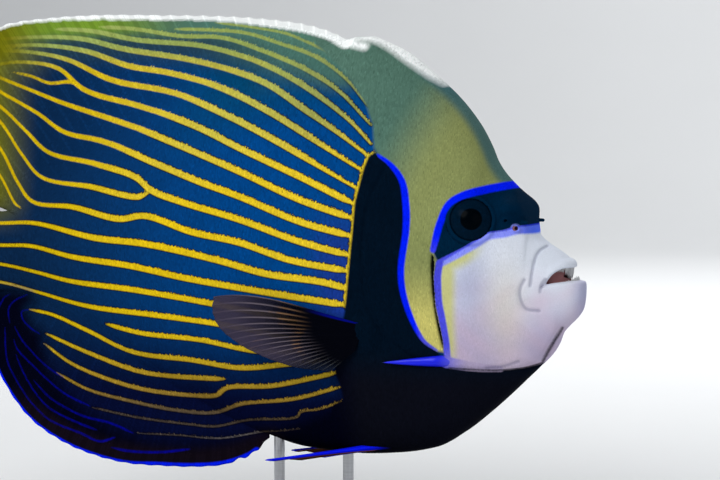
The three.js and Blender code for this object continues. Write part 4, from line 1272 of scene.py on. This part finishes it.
def make_teeth(material):
    """Three rows of fine, close-set teeth in each jaw, like a brush."""
    rings = []
    for lip in LIPS:
        for row in range(TEETH["rows"]):
            count = TEETH["first_row"] - TEETH["fewer"] * row
            for turn in np.radians(np.linspace(-TEETH["turn"], TEETH["turn"], count)):
                turn = turn + rng.normal(0, 0.01)
                foot = lip_place(turn, lip["front"], lip["line"], TEETH["inset"] + TEETH["apart"] * row)
                longer = lip["teeth"] - TEETH["least"] - TEETH["shorter"] * row
                long = TEETH["least"] + longer * math.exp(-((turn / TEETH["reach"]) ** 2))
                long = long * rng.uniform(0.88, 1.12)
                lean = rng.normal(0, 0.12, 2)
                radius = TEETH["radius"] * rng.uniform(0.85, 1.15)
                rings.append(tooth(foot, long, lip["points"], lean, radius))
    joined("teeth", rings, material)


def tooth(foot, long, points, lean, radius):
    v, angle = around(5, 6)
    wide = radius * (1 - v**2) ** 0.5 + 0.03
    s = foot[0] + wide * np.cos(angle) + lean[0] * v + 0.5 * v * v
    y = foot[1] + wide * np.sin(angle) + lean[1] * v
    return np.stack([s, y, foot[2] + points * (long * v - TEETH["rooted"])], -1)


def joined(name, tubes, material):
    """Many closed tubes as one mesh."""
    places, faces, start = [], [[], [], []], 0
    for rings in tubes:
        p, f = tube_ends(rings)
        places.append(p)
        for kept, part in zip(faces, f):
            kept.append(part + start)
        start += len(p)
    make(name, np.concatenate(places), [np.concatenate(f) for f in faces], material, {})


# Scales: tall and narrow where they show, rows close together along the body. The coat's parts lie
# between pairs of s, and on a fin it ends raggedly at a share of the way out to the margin.
SCALE = {"apart": 0.64, "tall": 1.55, "raised": 0.13}
COAT_PARTS = ((0, 80), (80, 130), (130, 190), (190, 310))
FIN_LEAN = (1.3, 0, 0)
FIN_COVERED = {"dorsal_fin": 0.8, "anal_fin": 0.8, "tail_fin": 0.42}


def row_places(pitch, end, row, wander):
    """Even places along a row, every other row half a pitch farther, each a little off its own place."""
    at = np.arange(pitch * (0.5 + 0.5 * (row % 2)), end, pitch)
    return at + rng.normal(0, wander, len(at))


def body_scale_places():
    """Even places over one flank, in rows from belly to back that step along the body."""
    places, sizes = [], []
    s, row = 21.0, 0
    while s < 301:
        size = (0.62 + 0.38 * step(40, 92, s)) * (0.75 + 0.25 * step(24, 36, s))
        z = np.linspace(belly(s) + 0.02, back(s) - 0.02, 500)
        y = flank(np.full_like(z, s), z)
        arc = arc_of(np.stack([y, z], -1))
        tall = SCALE["tall"] * size
        at = row_places(tall, arc[-1] - 0.6, row, 0.07 * tall)
        places.append(np.stack([np.full_like(at, s), np.interp(at, arc, y), np.interp(at, arc, z)], -1))
        sizes.append(np.full(len(at), size))
        s += SCALE["apart"] * size
        row += 1
    places, sizes = np.concatenate(places), np.concatenate(sizes)
    places[:, 0] += rng.normal(0, 0.06, len(places))
    return places, sizes


UNDER_FINS = {"dorsal": (116, 290), "anal": (155, 290), "high": 4.5}


def bare(places):
    """Where no scales grow: the lips, the eye and its rim, and under the fins' roots."""
    s, _, z = places.T
    _, flat = about(places.T, EYE_SURFACE, EYE_OUT)
    none = (np.sqrt(flat) < EYE["ring"] + EYE["rim"] + 0.4) | (s < 24 + 4 * np.sin(z * 0.4))
    for (front, rear), high in ((UNDER_FINS["dorsal"], back(s) - z), (UNDER_FINS["anal"], z - belly(s))):
        none |= (s > front) & (s < rear) & (high < UNDER_FINS["high"])
    for at_s, at_z, radius, *_ in NOSTRILS:
        none |= np.hypot(s - at_s, z - at_z) < radius + 1.2
    return none


# A scale's corners as shares of its length, its width and its rise, and the painted light and shade at
# each
SCALE_CORNERS = (
    (-0.5, -0.42, -0.6), (-0.5, 0.42, -0.6), (0.3, 0.5, 0.75), (0.52, 0.0, 1.0), (0.3, -0.5, 0.75),
    (0.0, 0.0, -2.2),
)
SCALE_FACES = np.array([
    [0, 1, 2], [0, 2, 3], [0, 3, 4], [1, 0, 5], [2, 1, 5], [3, 2, 5], [4, 3, 5], [0, 4, 5],
])
# Painted light: lighter where a scale stands up at its rear edge, painted shade at its sunk root
SCALE_PAINTED_LIGHT = (-1.2, -1.2, 0.6, 0.9, 0.6, -1.5)
SCALE_PATCH = 0.003 * np.array([(-0.5, -0.5), (-0.5, 0.5), (0.5, 0.5), (0.5, 0), (0.5, -0.5), (0, 0)])


def make_scales(name, centre, normal, lie, sizes, material, slot):
    """Scales as small closed wedges: their roots are sunk in the skin and their rear edges stand up."""
    across = np.cross(normal, lie)
    long = SCALE["apart"] * 1.6 * sizes * rng.uniform(0.92, 1.08, len(sizes))
    wide = SCALE["tall"] * 1.08 * sizes
    calm = 1 - 0.6 * step(1, -3, read(MAPS["face"], centre[:, 0], centre[:, 2]))
    raised = SCALE["raised"] * sizes * rng.uniform(0.7, 1.3, len(sizes)) * calm
    places = np.stack([
        centre + lie * (a * long)[:, None] + across * (b * wide)[:, None] + normal * (c * raised)[:, None]
        for a, b, c in SCALE_CORNERS
    ], 1)
    starts = np.arange(len(centre)) * len(SCALE_CORNERS)
    faces = (SCALE_FACES[None] + starts[:, None, None]).reshape(-1, 3)
    s, z = places[..., 0].ravel(), places[..., 2].ravel()
    values = marks_at(s, z)
    above = read(MAPS["stripe"], s, z + 0.6) > read(MAPS["stripe"], s, z - 0.6)
    comb = np.clip(np.abs(rng.normal(0, 0.34, len(centre))), 0, 0.7) * step(262, 190, centre[:, 0])
    values["marks_a"][:, 0] -= above * np.repeat(comb, len(SCALE_CORNERS))
    # Each scale's own random tone, plus painted light and shade by the height of its corners
    tone_and_light = rng.normal(0, 1, len(centre))[:, None] + np.array(SCALE_PAINTED_LIGHT)
    values["tone_and_light"] = (tone_and_light * calm[:, None]).ravel()
    made = make(name, places.reshape(-1, 3), [faces], material, values, soft=False)
    uv = unwrapped(centre)[:, None, :] + SCALE_PATCH[None]
    order = np.empty(len(made.data.loops), np.int32)
    made.data.loops.foreach_get("vertex_index", order)
    fill(made.data.uv_layers.new(name="OFBake").data, "uv", uv.reshape(-1, 2)[order])


def unwrapped(places):
    """Places on the skin laid flat: along the body, and round it from its widest level."""
    s, y, z = places.T
    side = np.where(y < 0, 0.01, 0.51)
    deep = np.maximum(flank(s, z), 0)
    round_ = (z - level(s)) + np.sign(z - level(s)) * 0.6 * np.maximum(0, half_width(s) - deep)
    return np.stack([side + 0.48 * np.clip(s / 372, 0, 1), 0.5 + round_ / 330], -1)


def lying(direction, normal):
    """A direction laid flat on the skin, at length one."""
    return unit(direction - normal * (direction * normal).sum(-1, keepdims=True))


def fin_scale_places(grid, side, covered):
    """Even places over one side of a fin's inner part, in rows along the body: each scale's place, its
    outward and rearward directions and its size."""
    p = grid[side]
    along_u, along_v = np.gradient(p, axis=0), np.gradient(p, axis=1)
    n = unit(np.cross(along_u, along_v))
    n = n * np.sign(n[..., 1:2] * SIDES[side] + 1e-12)
    found = []
    for row, j in enumerate(range(3, int(MIDDLE_ROWS * 0.9), 2)):
        arc = arc_of(p[:, j])
        size = 0.95 - 0.35 * float(grid["out"][:, j].mean())
        at = row_places(1.5 * size, arc[-1] - 0.5, row, 0.08)
        i = np.clip(np.searchsorted(arc, at), 0, len(arc) - 1)
        i = i[grid["out"][i, j] < covered + rng.normal(0, 0.05, len(i))]
        lie = lying(unit(along_v[i, j]) + np.array(FIN_LEAN), n[i, j])
        found.append((p[i, j], n[i, j], lie, np.full(len(i), size)))
    return [np.concatenate(part) for part in zip(*found)]


def make_coat(material, fins):
    places, sizes = body_scale_places()
    settled, normal = settle(BODY, places)
    kept = ~bare(settled)
    settled, normal, sizes = settled[kept], normal[kept], sizes[kept]
    lie = lying(np.array([1, 0, 0]), normal)
    for name, side in SIDES.items():
        mirror = np.array([1, side, 1])
        for part, (low, high) in enumerate(COAT_PARTS):
            some = (settled[:, 0] >= low) & (settled[:, 0] < high)
            p, n, t = settled[some] * mirror, normal[some] * mirror, lie[some] * mirror
            make_scales(f"scales_{name}_{part}", p, n, t, sizes[some], material, "flank_skin")
    for fin_name, grid in fins.items():
        for name in SIDES:
            found = fin_scale_places(grid, name, FIN_COVERED[fin_name])
            make_scales(f"scales_{fin_name}_{name}", *found, material, fin_name)


class Shader:
    """A material's nodes. Each method adds a node and gives its output, so that looks read as sums."""

    def __init__(self, name):
        self.material = bpy.data.materials.new(name)
        self.material.use_nodes = True
        tree = self.material.node_tree
        self.nodes, self.links = tree.nodes, tree.links
        self.surface = self.nodes["Principled BSDF"]

    def put(self, socket, value):
        """Sets a socket to a node's output, a named colour or a value."""
        if isinstance(value, str):
            value = PAINT[value]
        if isinstance(value, bpy.types.NodeSocket):
            self.links.new(value, socket)
        elif socket.type == "RGBA":
            socket.default_value = (*value, 1)
        else:
            socket.default_value = value

    def finish(self, **inputs):
        for name, value in inputs.items():
            self.put(self.surface.inputs[name.replace("_", " ")], value)
        return self.material

    def math(self, operation, *values, clamp=False):
        node = self.nodes.new("ShaderNodeMath")
        node.operation = operation
        node.use_clamp = clamp
        for socket, value in zip(node.inputs, values):
            self.put(socket, value)
        return node.outputs[0]

    def ramp(self, value, low, high, start=0.0, end=1.0):
        """start below low, end above high and smooth between them."""
        node = self.nodes.new("ShaderNodeMapRange")
        node.interpolation_type = "SMOOTHSTEP"
        for socket, given in zip(node.inputs, (value, low, high, start, end)):
            self.put(socket, given)
        return node.outputs[0]

    def mix(self, share, first, second, way="MIX"):
        node = self.nodes.new("ShaderNodeMix")
        node.data_type = "RGBA"
        node.blend_type = way
        self.put(node.inputs["Factor"], share)
        first_socket, second_socket = [s for s in node.inputs if s.type == "RGBA"]
        self.put(first_socket, first)
        self.put(second_socket, second)
        return next(s for s in node.outputs if s.type == "RGBA")

    def attribute(self, name, output="Fac"):
        node = self.nodes.new("ShaderNodeAttribute")
        node.attribute_name = name
        return node.outputs[output]

    def split(self, name):
        node = self.nodes.new("ShaderNodeSeparateXYZ")
        self.links.new(self.attribute(name, "Vector"), node.inputs[0])
        return node.outputs[0], node.outputs[1], node.outputs[2]

    def set(self, node, **inputs):
        """Gives a node's inputs fixed values."""
        for name, value in inputs.items():
            node.inputs[name.replace("_", " ")].default_value = value
        return node

    def place(self, stretch=(1, 1, 1)):
        """The place in the object, in metres, stretched along its axes."""
        at = self.nodes.new("ShaderNodeTexCoord").outputs["Object"]
        node = self.set(self.nodes.new("ShaderNodeMapping"), Scale=stretch)
        self.links.new(at, node.inputs["Vector"])
        return node.outputs[0]

    def noise(self, scale, detail=2.0, stretch=(1, 1, 1)):
        node = self.set(self.nodes.new("ShaderNodeTexNoise"), Scale=scale, Detail=detail)
        self.links.new(self.place(stretch), node.inputs["Vector"])
        return node.outputs["Fac"]

    def spread(self, value, size, least, clamp=False):
        """A value from 0 to 1 spread out over a size from least upwards."""
        return self.math("MULTIPLY_ADD", value, size, least, clamp=clamp)

    def bump(self, height, strength, distance):
        node = self.set(self.nodes.new("ShaderNodeBump"), Strength=strength, Distance=distance)
        self.links.new(height, node.inputs["Height"])
        return node.outputs[0]


# The marks from the lowest layer up: the mark, how soft its edge is in mm, and its colour or shade
LAYERS = (
    ("stripe", 0.3, "gold"), ("dark", 0.6, "gloom"), ("lines", 0.35, "deep line"), ("band", 0.8, "olive"),
    ("mask", 0.4, "mask"), ("face", 0.4, "white"), ("pale", 0.5, "rim"), ("blue", 0.4, "vein"),
    ("margin", 0.8, "margin"),
)


def marked_colour(sh, wobbling):
    """The fish's marks as one colour, from the distances and shades that every mesh carries."""
    distances = {}
    for name, keys in PACKED.items():
        distances.update(zip(keys, sh.split(name)))
    wobble = sh.spread(sh.noise(1100), 2 * wobbling, -wobbling)

    def inside(distance, soft, grow=0.0):
        away = sh.math("ADD", distance, wobble)
        return sh.spread(away, -0.5 / soft, 0.5 + 0.5 * grow / soft, clamp=True)

    outline = sh.math("MULTIPLY", inside(distances["stripe"], 0.3, 0.5), sh.attribute("ink"))
    tone = sh.mix(outline, sh.attribute("ground", "Color"), "navy")
    for name, soft, shade in LAYERS:
        over = sh.attribute(shade, "Color") if shade in SHADES else shade
        tone = sh.mix(inside(distances[name], soft), tone, over)
    # Soft painted shade along the folds
    tone = sh.mix(sh.ramp(sh.attribute("fold_shade"), 0.1, 0.95, 0.0, 0.42), tone, "fold_shade")
    tone = sh.mix(sh.attribute("gums"), tone, "gums")
    # Painted shadow in the gill gap and the deepest creases
    return sh.mix(inside(sh.attribute("crease_shadow"), 0.35), tone, "gap")


def varied(sh, tone, broad, fine):
    """A colour a little lighter and darker from place to place, and by the painted light and shade that a
    mesh carries.
    """
    patches = sh.spread(sh.noise(70, 3), 2 * broad, 1 - broad)
    grain = sh.spread(sh.noise(2200), 2 * fine, 1 - fine)
    each = sh.spread(sh.attribute("tone_and_light"), 0.085, 1)
    light = sh.math("MULTIPLY", sh.math("MULTIPLY", patches, grain), each)
    grey = sh.nodes.new("ShaderNodeCombineColor")
    for socket in grey.inputs:
        sh.links.new(light, socket)
    return sh.mix(1.0, tone, grey.outputs[0], "MULTIPLY")


DULL = {"Specular_IOR_Level": 0.03, "IOR": 1.12}
# A pale colour laid softly over the rays' ridges as a painted highlight
RAY_PAINTED_LIGHT = (0.75, 0.8, 0.85)


def skin_material():
    sh = Shader("skin")
    tone = varied(sh, marked_colour(sh, 0.16), 0.12, 0.1)
    # Painted highlight on the fins' ray ridges
    tone = sh.mix(sh.math("MULTIPLY", sh.attribute("ray"), 0.16), tone, RAY_PAINTED_LIGHT, "SOFT_LIGHT")
    rough = sh.spread(sh.noise(500), 0.2, 0.55)
    pores = sh.bump(sh.noise(1700, 3), 0.35, 0.0003)
    return sh.finish(Base_Color=tone, Roughness=rough, Normal=pores, **DULL)


def scale_material():
    sh = Shader("scales")
    tone = varied(sh, marked_colour(sh, 0.1), 0.1, 0.06)
    return sh.finish(Base_Color=tone, Roughness=sh.spread(sh.noise(600), 0.16, 0.42), **DULL)


def breast_fin_material():
    """Black at its foot, then a thin smoky membrane with pale rays."""
    sh = Shader("breast_fin")
    u, v = sh.attribute("fin_u"), sh.attribute("fin_v")
    ray = sh.math("POWER", sh.attribute("ray"), 2.6)
    patchy = sh.noise(55, 3)
    out = sh.spread(patchy, 0.2, sh.math("ADD", v, -0.1))
    out = sh.math("SUBTRACT", out, sh.ramp(u, 0.5, 1.0, 0.0, 0.1))
    low = sh.ramp(u, 0.5, 0.9)
    smoke = sh.mix(low, "fin smoke", "low smoke")
    membrane = sh.mix(sh.ramp(out, 0.5, 0.92), "fin foot", smoke)
    rays = sh.mix(sh.ramp(patchy, 0.5, 0.62), "grey ray", "tan ray")
    rays = sh.mix(low, rays, "dull ray")
    shown = sh.math("MULTIPLY", sh.ramp(out, 0.36, 0.7), sh.ramp(out, 0.7, 0.95, 0.9, 0.18))
    tone = sh.mix(sh.math("MULTIPLY", ray, shown), membrane, rays)
    edge = sh.math("MULTIPLY", sh.ramp(u, 0.05, 0.025), sh.ramp(v, 0.42, 0.2))
    tone = varied(sh, sh.mix(edge, tone, "fin blue"), 0.1, 0.05)
    solid = sh.math("MAXIMUM", sh.ramp(out, 0.72, 0.42), sh.spread(ray, 0.1, 0.84))
    rough = sh.spread(patchy, 0.2, 0.34)
    fine = sh.bump(sh.noise(1500), 0.2, 0.0002)
    return sh.finish(
        Base_Color=tone, Roughness=rough, Alpha=solid, Normal=fine, Specular_IOR_Level=0.04, IOR=1.12
    )


def belly_fin_material():
    """Dark, with brown rays and a blue line along each edge."""
    sh = Shader("belly_fin")
    u, v, ray = sh.attribute("fin_u"), sh.attribute("fin_v"), sh.attribute("ray")
    tone = sh.mix(sh.spread(ray, 0.6, 0.3, clamp=True), "belly fin", "brown ray")
    edges = sh.math("MAXIMUM", sh.ramp(u, 0.16, 0.08), sh.ramp(u, 0.86, 0.94))
    tone = sh.mix(edges, tone, "edge blue")
    tone = varied(sh, sh.mix(sh.ramp(v, 0.2, 0.06), tone, "belly foot"), 0.12, 0.12)
    rough = sh.spread(sh.noise(400), 0.2, 0.35)
    fine = sh.bump(sh.noise(1500), 0.3, 0.0002)
    return sh.finish(Base_Color=tone, Roughness=rough, Normal=fine, Specular_IOR_Level=0.1, IOR=1.2)


def spine_material():
    sh = Shader("spine")
    streaks = sh.noise(260, 3, (0.25, 1, 3))
    along_spine = sh.attribute("along")
    tone = sh.mix(streaks, "spine dark", "spine blue")
    tone = sh.mix(sh.ramp(along_spine, 0.3, 0.1), tone, "violet line")
    tone = sh.mix(sh.ramp(along_spine, 0.94, 1.0), tone, "spine tip")
    fine = sh.bump(sh.noise(900, 2, (0.3, 1, 2)), 0.3, 0.0003)
    rough = sh.spread(streaks, 0.2, 0.25)
    return sh.finish(Base_Color=tone, Roughness=rough, Normal=fine, Specular_IOR_Level=0.3)


def eye_material():
    """A near-black eye: its pupil, a dark blue iris with faint spokes, and a pale line at its rim."""
    sh = Shader("eye")
    away = sh.spread(sh.noise(300), 0.5, sh.math("ADD", sh.attribute("from_axis"), -0.25))
    iris = sh.mix(sh.noise(700, 3), "iris dark", "iris blue")
    tone = sh.mix(sh.ramp(away, 8.2, 9.4), iris, "iris rim")
    ring = sh.math("MULTIPLY", sh.ramp(away, 9.5, 9.9), sh.ramp(away, 10.7, 10.2))
    tone = sh.mix(sh.math("MULTIPLY", ring, 0.4), tone, "eye ring")
    tone = sh.mix(sh.ramp(away, 4.9, 4.5), tone, "pupil")
    rough = sh.spread(sh.noise(500), 0.05, 0.16)
    return sh.finish(Base_Color=tone, Roughness=rough, Specular_IOR_Level=0.04, IOR=1.25)


def tooth_material():
    sh = Shader("teeth")
    tone = sh.mix(sh.noise(400, 3), "tooth", "tooth grey")
    return sh.finish(Base_Color=tone, Roughness=sh.spread(sh.noise(900), 0.1, 0.25))


def wood_material():
    """Dark oiled walnut: growth rings cut lengthwise, with fine pores along the grain."""
    sh = Shader("walnut")
    bands = sh.set(sh.nodes.new("ShaderNodeTexWave"), Scale=26, Distortion=7, Detail=3, Detail_Scale=1.4)
    sh.links.new(sh.place((0.2, 1, 0.6)), bands.inputs["Vector"])
    bands.bands_direction = "Y"
    pores = sh.noise(420, 4, (0.05, 1, 1))
    tone = sh.mix(bands.outputs["Fac"], "walnut", "light walnut")
    tone = varied(sh, sh.mix(sh.ramp(pores, 0.42, 0.3), tone, "wood pore"), 0.18, 0.06)
    rough = sh.spread(pores, 0.25, 0.3)
    fine = sh.bump(pores, 0.35, 0.0004)
    return sh.finish(Base_Color=tone, Roughness=rough, Normal=fine, Coat_Weight=0.25, Coat_Roughness=0.2)


def steel_material():
    """Brushed steel, its fine lines round the rods."""
    sh = Shader("brushed_steel")
    lines = sh.noise(900, 3, (0.1, 0.1, 4))
    tone = sh.mix(lines, "steel", "bright steel")
    fine = sh.bump(lines, 0.2, 0.0001)
    return sh.finish(Base_Color=tone, Roughness=sh.spread(lines, 0.2, 0.22), Normal=fine, Metallic=1.0)


FLOOR = {
    "front": -3.2, "rear": 2.6, "high": 2.8, "bend": 1.1, "half_width": 4.5, "steps": 17,
    "tone": (0.76, 0.77, 0.78), "light_tone": (0.8, 0.81, 0.82),
}


def floor_material():
    sh = Shader("floor")
    tone = sh.mix(sh.noise(3, 3), FLOOR["tone"], FLOOR["light_tone"])
    return sh.finish(Base_Color=tone, Roughness=sh.spread(sh.noise(40), 0.1, 0.8))


def make_floor():
    """A pale floor that curves up into a backdrop behind the stand."""
    rear, bend = FLOOR["rear"], FLOOR["bend"]
    profile = [(FLOOR["front"], 0)]
    for angle in np.linspace(0, np.pi / 2, FLOOR["steps"]):
        profile.append((rear + bend * math.sin(angle), bend * (1 - math.cos(angle))))
    profile.append((rear + bend, FLOOR["high"]))
    places = [[x, y, z] for y, z in profile for x in (-FLOOR["half_width"], FLOOR["half_width"])]
    faces = [(2 * k, 2 * k + 1, 2 * k + 3, 2 * k + 2) for k in range(len(profile) - 1)]
    mesh = bpy.data.meshes.new("floor")
    mesh.from_pydata(places, [], faces)
    mesh.polygons.foreach_set("use_smooth", [True] * len(faces))
    mesh.materials.append(floor_material())
    add_object("floor", mesh)


def aim(made, direction):
    made.rotation_euler = Vector(direction).to_track_quat("-Z", "Y").to_euler()


def make_light(name, place, target, size, watts):
    light = bpy.data.lights.new(name, "AREA")
    light.shape = "DISK"
    light.size = size
    light.energy = watts
    made = add_object(name, light)
    made.location = place
    aim(made, Vector(target) - Vector(place))


def make_camera():
    camera = bpy.data.cameras.new("camera")
    camera.lens = CAMERA["lens"]
    camera.sensor_width = CAMERA["sensor"]
    camera.clip_start = 0.01
    made = add_object("camera", camera)
    made.location = EYE_POINT * MM
    aim(made, -BACKWARD)
    bpy.context.scene.camera = made


MIDDLE = (-0.03, 0, 0.15)
# Lights: where they are, what they aim at, how wide they are and their power
LIGHTS = {
    "key": ((-0.3, -1.75, 1.35), MIDDLE, 1.2, 24),
    "fill": ((-1.8, -0.9, 0.6), MIDDLE, 1.6, 7),
    "front": ((1.5, -1.2, 0.5), MIDDLE, 1.4, 3.5),
    "rear": ((-0.3, 1.4, 1.5), MIDDLE, 1.5, 12),
    "backdrop": ((0.6, 1.2, 2.2), (0.6, 3.4, 0.6), 2.0, 50),
}
SKY = (0.86, 0.89, 0.92, 1)
SKY_STRENGTH = 0.36


def make_studio():
    for name, light in LIGHTS.items():
        make_light(name, *light)
    world = bpy.data.worlds.new("world")
    world.use_nodes = True
    sky = world.node_tree.nodes["Background"]
    sky.inputs["Color"].default_value = SKY
    sky.inputs["Strength"].default_value = SKY_STRENGTH
    bpy.context.scene.world = world
    bpy.context.scene.view_settings.view_transform = "Standard"


def dress_stand():
    wood, steel = wood_material(), steel_material()
    for name, material in (("stand_base", wood), ("stand_rod_front", steel), ("stand_rod_rear", steel)):
        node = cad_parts[name]
        node.data.materials.clear()
        node.data.materials.append(material)


def make_fish():
    skin = skin_material()
    scales = scale_material()
    make_skin(skin)
    fins = make_middle_fins(skin)
    small = (
        (make_breast_fin, "breast_fin", breast_fin_material()),
        (make_belly_fin, "belly_fin", belly_fin_material()),
        (make_spine, "cheek_spine", spine_material()),
        (make_eye, "eye", eye_material()),
    )
    for side_name, side in SIDES.items():
        for make_piece, piece, material in small:
            make_piece(f"{piece}_{side_name}", side, material)
    make_teeth(tooth_material())
    make_coat(scales, fins)


make_fish()
dress_stand()
make_floor()
make_studio()
make_camera()
